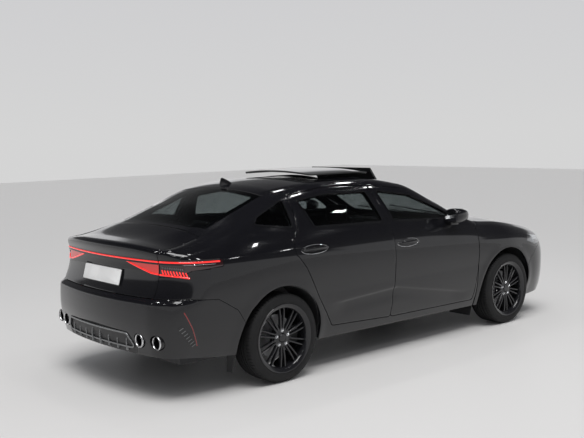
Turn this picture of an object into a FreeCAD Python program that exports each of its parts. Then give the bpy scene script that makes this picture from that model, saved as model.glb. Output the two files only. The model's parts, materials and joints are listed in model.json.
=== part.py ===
"""Mid-size four-door fastback sedan, built from body sections, panel outlines and turned wheels.

Frame: millimetres, +X to the front of the car, +Y to its left, +Z up. The origin lies on the floor
under the middle of the car. Every sub-part is one labelled object and one STEP file.
"""
import FreeCAD, Part
import Sketcher
import math
import os
from collections import namedtuple

Vector = FreeCAD.Vector

# Driving sizes: alias, value, what it is
SIZES = (
    ("body_length", 4780, "bumper to bumper"),
    ("body_width", 1843, "without mirrors"),
    ("roof_height", 1469, "floor to roof centre"),
    ("front_axle_x", 1465, "front wheel centre"),
    ("rear_axle_x", -1325, "rear wheel centre"),
    ("wheel_centre_y", 790, "half track"),
    ("tyre_radius", 330, "rolling radius"),
    ("tyre_width", 225, "section width"),
    ("rim_radius", 236, "bead seat radius"),
    ("rim_width", 205, "barrel width"),
    ("rim_wall", 9, "barrel wall"),
    ("rim_face_y", 84, "face of the spokes outboard of the wheel centre"),
    ("spoke_count", 10, "pairs of spokes"),
    ("spoke_width", 15, "one spoke at the hub"),
    ("spoke_spread", 10, "middle of a spoke from the middle of its pair, at the hub"),
    ("spoke_depth", 22, "spoke along the axle"),
    ("hub_radius", 78, "spoke hub of the rim"),
    ("hub_bore", 31, "bore for the spindle"),
    ("spindle_clearance", 1, "radial, spindle in hub"),
    ("disc_radius", 160, "brake disc"),
    ("disc_thickness", 26, "brake disc"),
    ("disc_y", -8, "disc's outboard face from the wheel centre"),
    ("kingpin_inset", 140, "steering axis inboard of the wheel centre"),
    ("kingpin_radius", 17, "strut rod on the steering axis"),
    ("arch_radius", 392, "wheel opening in the body side"),
    ("liner_radius", 426, "front inner wheel house"),
    ("panel_depth", 28, "outer layer of doors, hood, lid and bumpers"),
    ("glass_edge_depth", 14, "outer layer beside the windows"),
    ("wall_depth", 110, "whole door and sill"),
    ("pillar_depth", 46, "whole window frame and roof rail"),
    ("shut_gap", 6, "between neighbouring panels"),
    ("seal_step", 24, "overlap of a door's outer layer on its frame"),
    ("seal_gap", 12, "between a door's inner layer and its frame"),
    ("seal_depth_gap", 7, "between a door's outer layer and the seal flange"),
    ("glass_depth", 17, "glass behind the outer skin"),
    ("glass_thickness", 5, "all windows"),
    ("glass_lap", 14, "glass held in its frame all round"),
    ("glass_clearance", 0.3, "glass in its slot"),
    ("corner_radius", 28, "corners of doors and lids"),
    ("hinge_set_back", 20, "hinge axes behind the panels' edges"),
    ("hinge_inset", 34, "door hinge axes inside the widest skin"),
    ("hinge_pin_radius", 3.5, "all hinges"),
    ("hinge_clearance", 0.05, "radial, pin in knuckle"),
    ("hood_depth", 12, "hood panel"),
    ("hood_half_width", 735, "hood edge from the centre line"),
    ("lid_half_width", 640, "trunk lid edge from the centre line"),
    ("floor_height", 262, "top of the floor pan"),
    ("floor_thickness", 14, "floor pan"),
    ("seat_width", 500, "front seats"),
    ("seat_y", 370, "front seat centre"),
    ("steering_wheel_radius", 185, "outer radius"),
    ("exhaust_tip_radius", 47, "outer radius"),
    ("roof_glass_lift", 52, "raised sunroof glass above the roof"),
)

doc = FreeCAD.newDocument("sedan")
sheet = doc.addObject("Spreadsheet::Sheet", "Sizes")
for row_number, (alias, value, note) in enumerate(SIZES, start=1):
    sheet.set("A%d" % row_number, alias)
    sheet.set("B%d" % row_number, str(value))
    sheet.set("C%d" % row_number, note)
    sheet.setAlias("B%d" % row_number, alias)
doc.recompute()


def size(alias):
    """Value of one named size of the sheet."""
    return float(getattr(sheet, alias))


# Body sections, front to rear, for the table's own car of 4780 x 1843 x 1469 mm.
# Each has the station x and y, z pairs up the side: bottom, middle, shoulder, belt, rail, crown
# (the crown lies on the centre line and has only a height).
Station = namedtuple("Station", "x bottom middle shoulder belt rail crown")
STATIONS = (
    Station(2460, (700, 235), (790, 480), (690, 650), (560, 688), (480, 700), 715),
    Station(2150, (770, 215), (868, 520), (812, 690), (700, 818), (610, 846), 866),
    Station(1800, (800, 200), (905, 560), (870, 790), (762, 897), (680, 924), 946),
    Station(1465, (815, 205), (921, 600), (893, 825), (798, 952), (715, 976), 998),
    Station(1100, (822, 222), (915, 600), (893, 840), (818, 985), (732, 1014), 1036),
    Station(950, (825, 225), (912, 600), (893, 850), (826, 1012), (716, 1062), 1084),
    Station(650, (828, 228), (910, 600), (893, 866), (832, 1035), (676, 1212), 1240),
    Station(300, (830, 232), (910, 600), (893, 885), (836, 1055), (630, 1362), 1408),
    Station(-150, (830, 236), (910, 600), (895, 905), (836, 1072), (605, 1418), 1469),
    Station(-700, (830, 242), (912, 600), (897, 930), (830, 1085), (598, 1420), 1463),
    Station(-1100, (828, 246), (918, 610), (900, 945), (815, 1100), (590, 1382), 1430),
    Station(-1500, (822, 255), (921, 620), (896, 955), (782, 1120), (602, 1250), 1308),
    Station(-1850, (805, 275), (908, 620), (872, 960), (765, 1080), (640, 1130), 1168),
    Station(-2150, (780, 310), (880, 620), (835, 960), (742, 1048), (650, 1068), 1086),
    Station(-2460, (740, 330), (835, 620), (790, 960), (705, 1035), (640, 1058), 1078),
)
TABLE_LENGTH = 4780
TABLE_WIDTH = 1843
TABLE_HEIGHT = 1469
RULED = True
X_SCALE = size("body_length") / TABLE_LENGTH
Y_SCALE = size("body_width") / TABLE_WIDTH
Z_SCALE = size("roof_height") / TABLE_HEIGHT

# Plan outlines of nose and tail at several heights, for the table's own car:
# height, nose tip x, nose shoulder x, tail tip x, tail shoulder x (shoulders lie 0.9 of the half width out)
PlanLevel = namedtuple("PlanLevel", "z nose nose_shoulder tail tail_shoulder")
PLAN_LEVELS = (
    PlanLevel(100, 2250, 2040, -2270, -2090),
    PlanLevel(330, 2372, 2110, -2352, -2150),
    PlanLevel(560, 2390, 2130, -2390, -2185),
    PlanLevel(690, 2382, 2110, -2384, -2170),
    PlanLevel(720, 2370, 2095, -2345, -2140),
    PlanLevel(940, 2290, 2010, -2285, -2085),
    PlanLevel(1080, 2200, 1900, -2325, -2120),
    PlanLevel(1600, 2000, 1700, -2325, -2120),
)
PLAN_HALF_WIDTH = 1010
CORNER_START_X = 1640
CORNER_HALF_WIDTH = 830
FACE_HALF_WIDTH = 610
FACE_SWEEP = 62


def section_points(station):
    """The section's corner points on the car's left side, bottom to crown, at the sheet's size."""
    pairs = list(station[1:6]) + [(0, station.crown)]
    return [Vector(station.x * X_SCALE, y * Y_SCALE, z * Z_SCALE) for y, z in pairs]


def inset(points, depths):
    """Move each section point inwards by its depth, square to the section's sides."""
    moved = []
    for index, point in enumerate(points):
        normals = []
        if index > 0:
            side = point - points[index - 1]
            normals.append(Vector(0, side.z, -side.y).normalize())
        if index < len(points) - 1:
            side = points[index + 1] - point
            normals.append(Vector(0, side.z, -side.y).normalize())
        if index == len(points) - 1:
            normals = [Vector(0, 0, 1)]
        total = normals[0] if len(normals) == 1 else normals[0] + normals[1]
        share = 1.0 if len(normals) == 1 else 1.0 + normals[0].dot(normals[1])
        moved.append(point - total * (depths[index] / share))
    return moved


def section_wire(station, depths, drop):
    """Closed wire of the section's left half: flat bottom, straight sides, crowned top, centre line."""
    points = inset(section_points(station), depths)
    points[0] = points[0] + (points[0] - points[1]).normalize() * drop
    foot = Vector(points[0].x, 0, points[0].z)
    rail, crown = points[-2], points[-1]
    whole = Part.Arc(Vector(rail.x, -rail.y, rail.z), crown, rail).toShape()
    first, last = whole.ParameterRange
    on_arc = whole.valueAt(first + 0.75 * (last - first))
    edges = [Part.LineSegment(foot, points[0]).toShape()]
    for low, high in zip(points[:-2], points[1:-1]):
        edges.append(Part.LineSegment(low, high).toShape())
    edges.append(Part.Arc(rail, on_arc, crown).toShape())
    edges.append(Part.LineSegment(crown, foot).toShape())
    return Part.Wire(edges)


def skin(depths, drop=0.0, stations=STATIONS):
    """Left half of the solid inside the body's surface, moved inwards by depths; drop lowers its bottom."""
    wires = [section_wire(station, depths, drop) for station in stations]
    return Part.makeLoft(wires, True, RULED, False, 3)


def plan_wire(level, depth):
    """Plan outline of the car at one height, moved inwards at nose and tail."""
    z = level.z * Z_SCALE
    side = PLAN_HALF_WIDTH * Y_SCALE
    corner = CORNER_HALF_WIDTH * Y_SCALE
    face = FACE_HALF_WIDTH * Y_SCALE
    ends = []
    for tip, shoulder, way in ((level.nose, level.nose_shoulder, 1), (level.tail, level.tail_shoulder, -1)):
        start_x = way * CORNER_START_X * X_SCALE
        tip_x = tip * X_SCALE - way * depth
        shoulder_x = shoulder * X_SCALE - way * depth
        face_x = tip_x - way * FACE_SWEEP
        ends.append((
            Vector(start_x, -way * side, z), Vector(shoulder_x, -way * corner, z),
            Vector(face_x, -way * face, z), Vector(tip_x, 0, z), Vector(face_x, way * face, z),
            Vector(shoulder_x, way * corner, z), Vector(start_x, way * side, z)))
    edges = []
    for end in ends:
        for first in (0, 2, 4):
            edges.append(Part.Arc(end[first], end[first + 1], end[first + 2]).toShape())
    nose, tail = ends
    wire = Part.Wire(edges[:3] + [Part.LineSegment(nose[6], tail[0]).toShape()]
                     + edges[3:] + [Part.LineSegment(tail[6], nose[0]).toShape()])
    return wire


def plan_block(depth):
    """Upright block with the car's plan outlines, moved inwards by depth at nose and tail."""
    return Part.makeLoft([plan_wire(level, depth) for level in PLAN_LEVELS], True, True)



# Side-view outlines (x, z) of doors and windows
HINGE_LINE_X = 1018
B_PILLAR_LINE = [(-135, 303), (-105, 604), (-107, 1075), (-170, 1388)]
FRONT_DOOR = [(HINGE_LINE_X, 620), (980, 286)] + B_PILLAR_LINE + [
    (300, 1332), (650, 1184), (902, 1060), (1000, 985), (HINGE_LINE_X, 920)]
REAR_DOOR_BACK = [(-806, 337), (-956, 567), (-1099, 827), (-1199, 948), (-1180, 1040), (-1092, 1105),
                  (-1048, 1352)]
REAR_DOOR = B_PILLAR_LINE[::-1] + REAR_DOOR_BACK + [(-700, 1392)]
FRONT_WINDOW = [(-50, 1092), (-106, 1340), (285, 1286), (600, 1150), (800, 1046)]
REAR_WINDOW = [(-170, 1094), (-925, 1112), (-985, 1312), (-700, 1346), (-228, 1342)]
QUARTER_WINDOW = [(-1128, 1122), (-1470, 1166), (-1400, 1216), (-1108, 1330)]
# Plan outlines (x, y), left half, of what lies on top of the body
WINDSCREEN = [(1092, 0), (1080, 500), (985, 668), (650, 622), (330, 575), (330, 0)]
ROOF = [(324, 0), (324, 573), (-150, 560), (-834, 545), (-1225, 540), (-1225, 0)]
REAR_SCREEN = [(-1231, 0), (-1231, 534), (-1500, 540), (-1770, 560), (-1815, 420), (-1828, 0)]


def prism(points, axis, low, high, offset=0.0, radius=0.0):
    """Solid with a flat outline, square to axis x (y, z), y (x, z) or z (x, y), from low to high.

    offset moves the outline outwards, and radius rounds its corners.
    """
    place = {"x": lambda a, b: Vector(low, a, b),
             "y": lambda a, b: Vector(a, low, b),
             "z": lambda a, b: Vector(a, b, low)}[axis]
    way = {"x": Vector(high - low, 0, 0), "y": Vector(0, high - low, 0), "z": Vector(0, 0, high - low)}[axis]
    corners = [place(a, b) for a, b in points]
    wire = Part.makePolygon(corners + corners[:1])
    if radius:
        wire = wire.makeOffset2D(-radius)
    if radius + offset:
        wire = wire.makeOffset2D(radius + offset)
    return Part.Face(wire).extrude(way)


def both_halves(points):
    """Outline (x, y) of the left half completed by its mirror image."""
    return points + [(x, -y) for x, y in points[::-1] if y]


def box(x_range, y_range, z_range):
    """Box between low and high x, y and z."""
    lows = [min(pair) for pair in (x_range, y_range, z_range)]
    spans = [abs(pair[1] - pair[0]) for pair in (x_range, y_range, z_range)]
    return Part.makeBox(spans[0], spans[1], spans[2], Vector(*lows))


def bar(start, end, radius):
    """Round bar from start to end."""
    way = Vector(*end) - Vector(*start)
    return Part.makeCylinder(radius, way.Length, Vector(*start), way)


def mirrored(shape):
    """The shape on the car's other side."""
    return shape.mirror(Vector(0, 0, 0), Vector(0, 1, 0))


def joined(shapes):
    """One shape from several that touch."""
    result = shapes[0].multiFuse(shapes[1:]) if len(shapes) > 1 else shapes[0]
    return result.removeSplitter()


def shared(shape, zone):
    """Part of the shape inside the zone, which moves by a hair where its edges meet the shape's seams."""
    for step in range(8):
        result = shape.common(zone.translated(Vector(0.03 * step, 0, 0.02 * step)))
        if result.Solids:
            return result
    raise ValueError("the zone shares nothing with the shape")


# Reach of cutting tools beyond the body
FAR_Y = 1200
FAR_Z = 1700
FAR_X = 2600
HALF_GAP = size("shut_gap") / 2

panel_depth = size("panel_depth")
edge_depth = size("glass_edge_depth")
roof_depth = edge_depth + 8
panel_depths = (panel_depth, panel_depth, panel_depth, panel_depth - 4, edge_depth, roof_depth)
flange_depths = tuple(depth + size("seal_depth_gap") for depth in panel_depths)
wall_depths = (size("wall_depth"), size("wall_depth"), size("wall_depth") - 10, size("pillar_depth") + 18,
               size("pillar_depth"), size("pillar_depth"))
BOTTOM_DROP = 160
# The inner walls are plainer and follow every other section
CABIN_STATIONS = (2460, 1465, 950, 300, -700, -1100, -1500, -1850, -2460)


def body_skin(depth_list, end_depth, drop, stations=STATIONS):
    """Left half of the body with its surface moved inwards, and its nose and tail by end_depth."""
    return skin(depth_list, drop, stations).common(plan_block(end_depth))


outer = body_skin((0,) * 6, 0, 0)
middle = body_skin(panel_depths, panel_depth, BOTTOM_DROP)
flange = body_skin(flange_depths, panel_depth + size("seal_depth_gap"), BOTTOM_DROP)
inner = body_skin(wall_depths, size("wall_depth"), BOTTOM_DROP,
                  [station for station in STATIONS if station.x in CABIN_STATIONS])
panel_layer = outer.cut(middle)
wall_layer = middle.common(outer).cut(inner)


def glass_layer(depth, clearance=0.0):
    """Layer of glass behind the outer skin."""
    face = skin((depth - clearance,) * 6)
    back = skin((depth + size("glass_thickness") + clearance,) * 6, BOTTOM_DROP)
    return face.cut(back)


window_glass = glass_layer(size("glass_depth"))
window_slot = glass_layer(size("glass_depth"), size("glass_clearance"))
SCREEN_DEPTH = 3
SCREEN_LAP = 30
screen_glass = glass_layer(SCREEN_DEPTH)
screen_slot_floor = skin((SCREEN_DEPTH + size("glass_thickness") + size("glass_clearance"),) * 6, BOTTOM_DROP)

LEFT = (300, FAR_Y)


def side_window(opening):
    """(pane, slot in its frame, opening) of a side window on the left."""
    lap = size("glass_lap")
    pane = window_glass.common(prism(opening, "y", *LEFT, offset=lap, radius=20))
    slot = window_slot.common(prism(opening, "y", *LEFT, offset=lap + size("glass_clearance"), radius=20))
    return pane, slot, prism(opening, "y", *LEFT, radius=14)


def door(outline, window):
    """(door, pane, opening in the side frame) on the left."""
    radius = size("corner_radius")
    skin_part = shared(panel_layer, prism(outline, "y", *LEFT, offset=-HALF_GAP, radius=radius))
    wall_inset = HALF_GAP + size("seal_step")
    wall_part = shared(wall_layer, prism(outline, "y", *LEFT, offset=-wall_inset))
    pane, slot, opening = side_window(window)
    leaf = joined([skin_part, wall_part]).cut(slot).cut(opening)
    rebate = prism(outline, "y", *LEFT, offset=HALF_GAP, radius=radius).cut(flange)
    hole = prism(outline, "y", *LEFT, offset=size("seal_gap") - wall_inset)
    return leaf, pane, rebate.fuse(hole)


front_leaf, front_pane, front_hole = door(FRONT_DOOR, FRONT_WINDOW)
rear_leaf, rear_pane, rear_hole = door(REAR_DOOR, REAR_WINDOW)
quarter_pane, quarter_slot, quarter_opening = side_window(QUARTER_WINDOW)

# Body openings shared by frame, fenders and liners
AXLES = {"front": size("front_axle_x"), "rear": size("rear_axle_x")}
AXLE_Z = size("tyre_radius")
ARCH = size("arch_radius")
FRAME_FRONT_X = HINGE_LINE_X
COWL_LINE_X = 1098


def arch_tool(axle_x, radius, y_low, y_high):
    """Cylinder across the car at a wheel, for wheel openings."""
    return bar((axle_x, y_low, AXLE_Z), (axle_x, y_high, AXLE_Z), radius)


hood_edge = size("hood_half_width")
lid_edge = size("lid_half_width")
HOOD = [(2262, 0), (2215, 330), (2120, 590), (1990, 655), (1700, hood_edge - 22), (1165, hood_edge), (1150, 0)]
LID_FRONT_X = -1872
LID = [(LID_FRONT_X, 0), (LID_FRONT_X, lid_edge), (-FAR_X, lid_edge), (-FAR_X, 0)]
LID_LOWER_Z = 722
HOOD_LOWER_Z = 720
# Side-view lines (x, z) between fender and bumper, and between quarter and rear bumper
FRONT_BUMPER_LINE = [(1790, 470), (1880, 585), (1985, 668), (2120, 700), (FAR_X, 712)]
REAR_BUMPER_LINE = [(-1660, 470), (-1740, 600), (-1905, 700), (-2130, 722), (-FAR_X, 716)]
HEADLAMP = [(1800, 752), (1880, 806), (2090, 772), (2420, 742), (2420, 700), (2120, 703), (1985, 700)]
TAIL_LAMP = [(-1850, 928), (-1850, 972), (-FAR_X, 990), (-FAR_X, 856), (-2160, 872), (-2080, 912)]
HEADLAMP_INNER_Y = 420


def bumper_zone(line, arch_x, offset):
    """Everything below a bumper's seam line, left half."""
    end_x = line[-1][0]
    return prism(line + [(end_x, 0), (arch_x, 0), (arch_x, line[0][1])], "y", -1, FAR_Y, offset=offset)


def cut_each(shape, tools):
    """The shape with each tool cut from it in turn."""
    for tool in tools:
        shape = shape.cut(tool)
    return shape


def mirrored_outline(points):
    """Outline (y, z) of the left half completed by its mirror image."""
    return points + [(-y, z) for y, z in points[::-1] if y]


def over_middle(outline, low, offset=0.0):
    """Plan zone above height low, its outline completed on both sides of the car."""
    return prism(both_halves(outline), "z", low, FAR_Z, offset=offset)


headlamp_zone = prism(HEADLAMP, "y", HEADLAMP_INNER_Y, FAR_Y)
headlamp_hole = prism(HEADLAMP, "y", HEADLAMP_INNER_Y - HALF_GAP, FAR_Y, offset=HALF_GAP)
tail_lamp_zone = prism(TAIL_LAMP, "y", lid_edge + HALF_GAP, FAR_Y)
tail_lamp_hole = prism(TAIL_LAMP, "y", lid_edge - HALF_GAP, FAR_Y, offset=1)
hood_hole = over_middle(HOOD, HOOD_LOWER_Z - HALF_GAP, HALF_GAP)
lid_hole = over_middle(LID, LID_LOWER_Z - HALF_GAP, HALF_GAP)


def screen(outline):
    """(pane, rabbet and see-through opening in the body) of windscreen or rear window, left half."""
    pane = screen_glass.common(over_middle(outline, 500))
    rabbet = over_middle(outline, 500, size("glass_clearance")).cut(screen_slot_floor)
    return pane, rabbet.fuse(over_middle(outline, 500, -SCREEN_LAP))


windscreen_pane, windscreen_hole = screen(WINDSCREEN)
rear_screen_pane, rear_screen_hole = screen(REAR_SCREEN)
ROOF_LINING = [(250, 0), (250, 500), (-150, 490), (-770, 475), (-1160, 468), (-1160, 0)]

# Side frame: sill, pillars, roof rail and quarter
frame_zone = box((-FAR_X, FRAME_FRONT_X), (-1, FAR_Y), (0, FAR_Z)).fuse(
    prism([(FRAME_FRONT_X - 1, 952), (COWL_LINE_X, 984), (COWL_LINE_X, FAR_Z), (FRAME_FRONT_X - 1, FAR_Z)],
          "y", 560, FAR_Y))
side_frame = cut_each(outer.cut(bumper_zone(REAR_BUMPER_LINE, -1600, HALF_GAP)).common(frame_zone), [
    inner, lid_hole, tail_lamp_hole,
    arch_tool(AXLES["rear"], ARCH, 560, FAR_Y), over_middle(ROOF, 1000, HALF_GAP).cut(middle),
    over_middle(ROOF_LINING, 1000), windscreen_hole, rear_screen_hole, front_hole, rear_hole,
    quarter_slot, quarter_opening])

# Roof with its opening, the fin and the glass that has slid back over it
ROOF_OPENING = [(238, 0), (238, 387), (-590, 387), (-590, 0)]
SUNROOF = [(70, 0), (70, 430), (-620, 430), (-620, 0)]
FIN = [(-1222, 1370), (-1214, 1474), (-1188, 1482), (-1120, 1458), (-1062, 1425), (-1062, 1390)]
roof_half = shared(panel_layer, over_middle(ROOF, 1000)).cut(over_middle(ROOF_OPENING, 1000))
roof_half = joined([roof_half, prism(FIN, "y", 0, 18).cut(middle)])
sunroof_half = shared(panel_layer, over_middle(SUNROOF, 1000))

nose_zone = box((1980, FAR_X), (-1, HEADLAMP_INNER_Y - HALF_GAP), (690, 830))
fender_zone = prism([(HINGE_LINE_X + HALF_GAP, 236), (HINGE_LINE_X + HALF_GAP, 946), (COWL_LINE_X + 6, 978),
                     (COWL_LINE_X + 6, 1300), (2300, 1300), (2300, 0), (1200, 0), (1200, 236)], "y", -1, FAR_Y)
fender = cut_each(shared(panel_layer, fender_zone), [
    bumper_zone(FRONT_BUMPER_LINE, 1700, HALF_GAP), headlamp_hole, hood_hole, nose_zone,
    arch_tool(AXLES["front"], ARCH, -1, FAR_Y), box((1000, 1168), (-1, 664), (0, FAR_Z))])
hood_layer = outer.cut(skin((size("hood_depth"),) * 6, BOTTOM_DROP))
hood_half = hood_layer.common(over_middle(HOOD, HOOD_LOWER_Z, -HALF_GAP)).common(
    over_middle([(x - 2, y) for x, y in HOOD[:4]] + [(1000, 655), (1000, 0)], 0, -HALF_GAP).fuse(
        over_middle([(1990, 0), (1990, 800), (1000, 800), (1000, 0)], 0)))
cowl_half = panel_layer.common(box((COWL_LINE_X, 1147), (-1, 655), (900, FAR_Z))).cut(windscreen_hole)

GRILLE = [(0, 330), (400, 330), (470, 420), (440, 560), (0, 590)]
grille_zone = prism(mirrored_outline(GRILLE), "x", 1900, FAR_X)
front_bumper_half = cut_each(panel_layer.common(bumper_zone(FRONT_BUMPER_LINE, 1700, 0).fuse(nose_zone)), [
    headlamp_hole, hood_hole, arch_tool(AXLES["front"], ARCH, -1, FAR_Y), grille_zone])

DIFFUSER = [(0, 310), (465, 310), (492, 360), (410, 474), (0, 492)]
diffuser_zone = prism(mirrored_outline(DIFFUSER), "x", -FAR_X, -2100)
diffuser_hole = prism(mirrored_outline(DIFFUSER), "x", -FAR_X, -2100, offset=1)
rear_bumper_half = cut_each(panel_layer.common(bumper_zone(REAR_BUMPER_LINE, -1600, 0)), [
    lid_hole, arch_tool(AXLES["rear"], ARCH, -1, FAR_Y), diffuser_hole])
TIP_R = size("exhaust_tip_radius")
TIP_Z = 426
TIPS_Y = (528, 684)
TIP_ENDS_X = (-2332, -2296)
tip_holes = [bar((-FAR_X, tip_y, TIP_Z), (-2150, tip_y, TIP_Z), TIP_R + 4) for tip_y in TIPS_Y]
diffuser_half = cut_each(shared(panel_layer, diffuser_zone), tip_holes)
rear_bumper_half = cut_each(rear_bumper_half, tip_holes)

LAMP_BAR_DEPTH = 12
LAMP_BAR_LOW = 944
LAMP_BAR_HIGH = 984
lamp_layer = outer.cut(plan_block(LAMP_BAR_DEPTH))
lamp_bar_zone = box((-FAR_X, -2150), (-1, lid_edge - 8), (LAMP_BAR_LOW, LAMP_BAR_HIGH))
lamp_bar_half = shared(lamp_layer, lamp_bar_zone)
lid_half = panel_layer.common(over_middle(LID, LID_LOWER_Z + HALF_GAP, -HALF_GAP)).cut(lamp_bar_half)

# Flat seat for the licence plate, sunk in the lid's sloping rear face
PLATE_HALF_WIDTH = 265
PLATE_HALF_HEIGHT = 61
PLATE_Z = 836
PLATE_SEAT_DEPTH = 13
below, above = [level for level in PLAN_LEVELS if level.z in (720, 940)]
tail_slope = math.atan((above.tail - below.tail) / (above.z - below.z))
tail_x = below.tail + math.tan(tail_slope) * (PLATE_Z - below.z)
plate_turn = FreeCAD.Rotation(Vector(0, 1, 0), math.degrees(tail_slope))
plate_inward = plate_turn.multVec(Vector(1, 0, 0))
plate_seat = Vector(tail_x * X_SCALE, 0, PLATE_Z * Z_SCALE) + plate_inward * PLATE_SEAT_DEPTH
plate_pocket = box((-60, 0), (-1, PLATE_HALF_WIDTH), (-PLATE_HALF_HEIGHT, PLATE_HALF_HEIGHT))
plate_pocket.Placement = FreeCAD.Placement(plate_seat, plate_turn)
lid_half = lid_half.cut(plate_pocket)
headlamp = outer.cut(inner).common(headlamp_zone)
tail_lamp = shared(panel_layer, tail_lamp_zone)

# Floor, bulkheads and shelves end on the inner walls
FLOOR_Z = size("floor_height")
SHEET = size("floor_thickness")
FIREWALL_X = HINGE_LINE_X - SHEET
HEEL_X = -720
REAR_WALL_X = -1240
BOOT_END_X = -2130
BOOT_FLOOR_Z = 400
SHELF_Z = 1024
TUNNEL_HALF = 120
TUNNEL_END_X = -530
LINER_INNER_Y = 634
arch_side = arch_tool(AXLES["rear"], ARCH, LINER_INNER_Y - 0.3, FAR_Y)
tunnel_hollow = box((TUNNEL_END_X + SHEET, HINGE_LINE_X + 1), (-2, TUNNEL_HALF - SHEET),
                    (0, FLOOR_Z + 110 - SHEET))


def plates(sides, cuts=()):
    """Flat panels between the inner walls, from their (x, y, z) ranges."""
    return cut_each(joined([box(*ranges) for ranges in sides]).common(inner), cuts)


floor_half = plates([
    ((HEEL_X, HINGE_LINE_X), (-1, FAR_Y), (FLOOR_Z - SHEET, FLOOR_Z)),
    ((TUNNEL_END_X, HINGE_LINE_X), (-1, TUNNEL_HALF), (FLOOR_Z - SHEET, FLOOR_Z + 110)),
    ((HEEL_X - SHEET, HEEL_X), (-1, FAR_Y), (FLOOR_Z - SHEET, BOOT_FLOOR_Z))], [arch_side, tunnel_hollow])
firewall_half = plates([((FIREWALL_X, HINGE_LINE_X), (-1, FAR_Y), (FLOOR_Z - SHEET, 985))],
                       [tunnel_hollow]).cut(floor_half)
boot_floor_half = plates([
    ((BOOT_END_X, HEEL_X), (-1, FAR_Y), (BOOT_FLOOR_Z, BOOT_FLOOR_Z + SHEET)),
    ((BOOT_END_X - SHEET, BOOT_END_X), (-1, FAR_Y), (BOOT_FLOOR_Z, LID_LOWER_Z - 12))], [arch_side])
shelf_half = plates([
    ((REAR_WALL_X - SHEET, REAR_WALL_X), (-1, FAR_Y), (BOOT_FLOOR_Z + SHEET, SHELF_Z)),
    ((-1775, REAR_WALL_X), (-1, FAR_Y), (SHELF_Z, SHELF_Z + SHEET))], [arch_side])

# Wheel liners with mud flaps
LINER_WALL = 6


def liner(axle_x, radius, inner_y, clip, hole_radius):
    """Inner arch: ring over the wheel, wall inboard of it and a flap behind it."""
    ring = arch_tool(axle_x, radius, inner_y, FAR_Y).cut(
        arch_tool(axle_x, radius - LINER_WALL, inner_y + LINER_WALL, FAR_Y + 1))
    ring = ring.cut(box((axle_x - radius, axle_x + radius), (0, FAR_Y), (0, AXLE_Z - 70)))
    ring = ring.cut(bar((axle_x, 0, AXLE_Z), (axle_x, inner_y + LINER_WALL + 1, AXLE_Z), hole_radius))
    ring = ring.cut(box((axle_x - 70, axle_x + 70), (0, inner_y + LINER_WALL + 1), (0, AXLE_Z)))
    flap_x = axle_x - math.sqrt(radius ** 2 - 70 ** 2)
    flap = box((flap_x, flap_x + LINER_WALL), (inner_y + 60, 812), (118, AXLE_Z - 66))
    return ring.fuse(flap).common(clip).removeSplitter()


front_liner = liner(AXLES["front"], size("liner_radius"), 476, middle, 120)
front_liner = front_liner.cut(bar((AXLES["front"], 650, 600), (AXLES["front"], 650, 900), 78))
rear_clip = skin((16,) * 6, BOTTOM_DROP + 60)
rear_liner = liner(AXLES["rear"], ARCH - 0.3, LINER_INNER_Y, rear_clip, 120)

# Hinges: pin and arm on the body, knuckle on the moving panel, and a relief round the axis
PIN_R = size("hinge_pin_radius")
KNUCKLE_R = PIN_R + 3.5
KNUCKLE_LENGTH = 24
HINGE_BACK = size("hinge_set_back")
HINGE_IN = size("hinge_inset")
SWING_GAP = 5
NOTCH_COVER = 4
X_WAY = Vector(1, 0, 0)
Y_WAY = Vector(0, 1, 0)
Z_WAY = Vector(0, 0, 1)


def placed(shape, place, ahead, outward):
    """Shape made round the origin, turned so that x points ahead and y outward, and moved to place."""
    result = shape.copy()
    result.Placement = FreeCAD.Placement(place, FreeCAD.Rotation(ahead, outward, ahead.cross(outward), "XYZ"))
    return result


def hinge(place, ahead, outward, skin_distance, arm):
    """(fixed part, cut in the moving panel, moving knuckle) of one hinge.

    ahead points at the shut line and outward at the skin; arm is a list of boxes round the axis.
    """
    low, high = -KNUCKLE_LENGTH - 3, KNUCKLE_LENGTH + 2
    fixed = joined([bar((0, 0, low), (0, 0, -3), KNUCKLE_R), bar((0, 0, low), (0, 0, high + 4), PIN_R)]
                   + [box(*sides, (low, -3)) for sides in arm])
    bore = bar((0, 0, 0), (0, 0, high + 6), PIN_R + size("hinge_clearance"))
    notch = box((-16, 60), (-90, skin_distance - NOTCH_COVER), (low - 5, 2)).fuse(bore)
    knuckle = joined([bar((0, 0, 2), (0, 0, high), KNUCKLE_R),
                      box((-22, 0), (-KNUCKLE_R, skin_distance - NOTCH_COVER), (2, high))]).cut(bore)
    return [placed(shape, place, ahead, outward) for shape in (fixed, notch, knuckle)]


def relief(place, ahead, outward, rows):
    """Space that the panel's edge sweeps: rows of distance along the axis, edge ahead of it, skin outside it."""
    def turned_body(radii):
        corners = [Vector(0, 0, rows[0][0])] + [Vector(r, 0, row[0]) for r, row in zip(radii, rows)]
        corners.append(Vector(0, 0, rows[-1][0]))
        return Part.Face(Part.makePolygon(corners + corners[:1])).revolve(Vector(0, 0, 0), Z_WAY, 360)
    outer_part = turned_body([math.hypot(edge, max(skin_at, 1)) + SWING_GAP for along, edge, skin_at in rows])
    depth = size("panel_depth")
    inner_part = turned_body([math.hypot(edge, max(depth - skin_at, 1)) + SWING_GAP for along, edge, skin_at in rows])
    inner_part = inner_part.cut(box((-200, 200), (0, 200), (-1000, 2000)))
    return placed(outer_part.fuse(inner_part), place, ahead, outward)


def skin_y(x, z):
    """Half width of the ruled body surface at station x and height z."""
    for front, rear in zip(STATIONS, STATIONS[1:]):
        if rear.x * X_SCALE <= x <= front.x * X_SCALE:
            share = (x / X_SCALE - rear.x) / (front.x - rear.x)
            points = [a + (b - a) * share for a, b in zip(section_points(rear), section_points(front))]
            for low, high in zip(points, points[1:]):
                if low.z <= z <= high.z:
                    return low.y + (high.y - low.y) * (z - low.z) / (high.z - low.z)
    return 0.0


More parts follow.
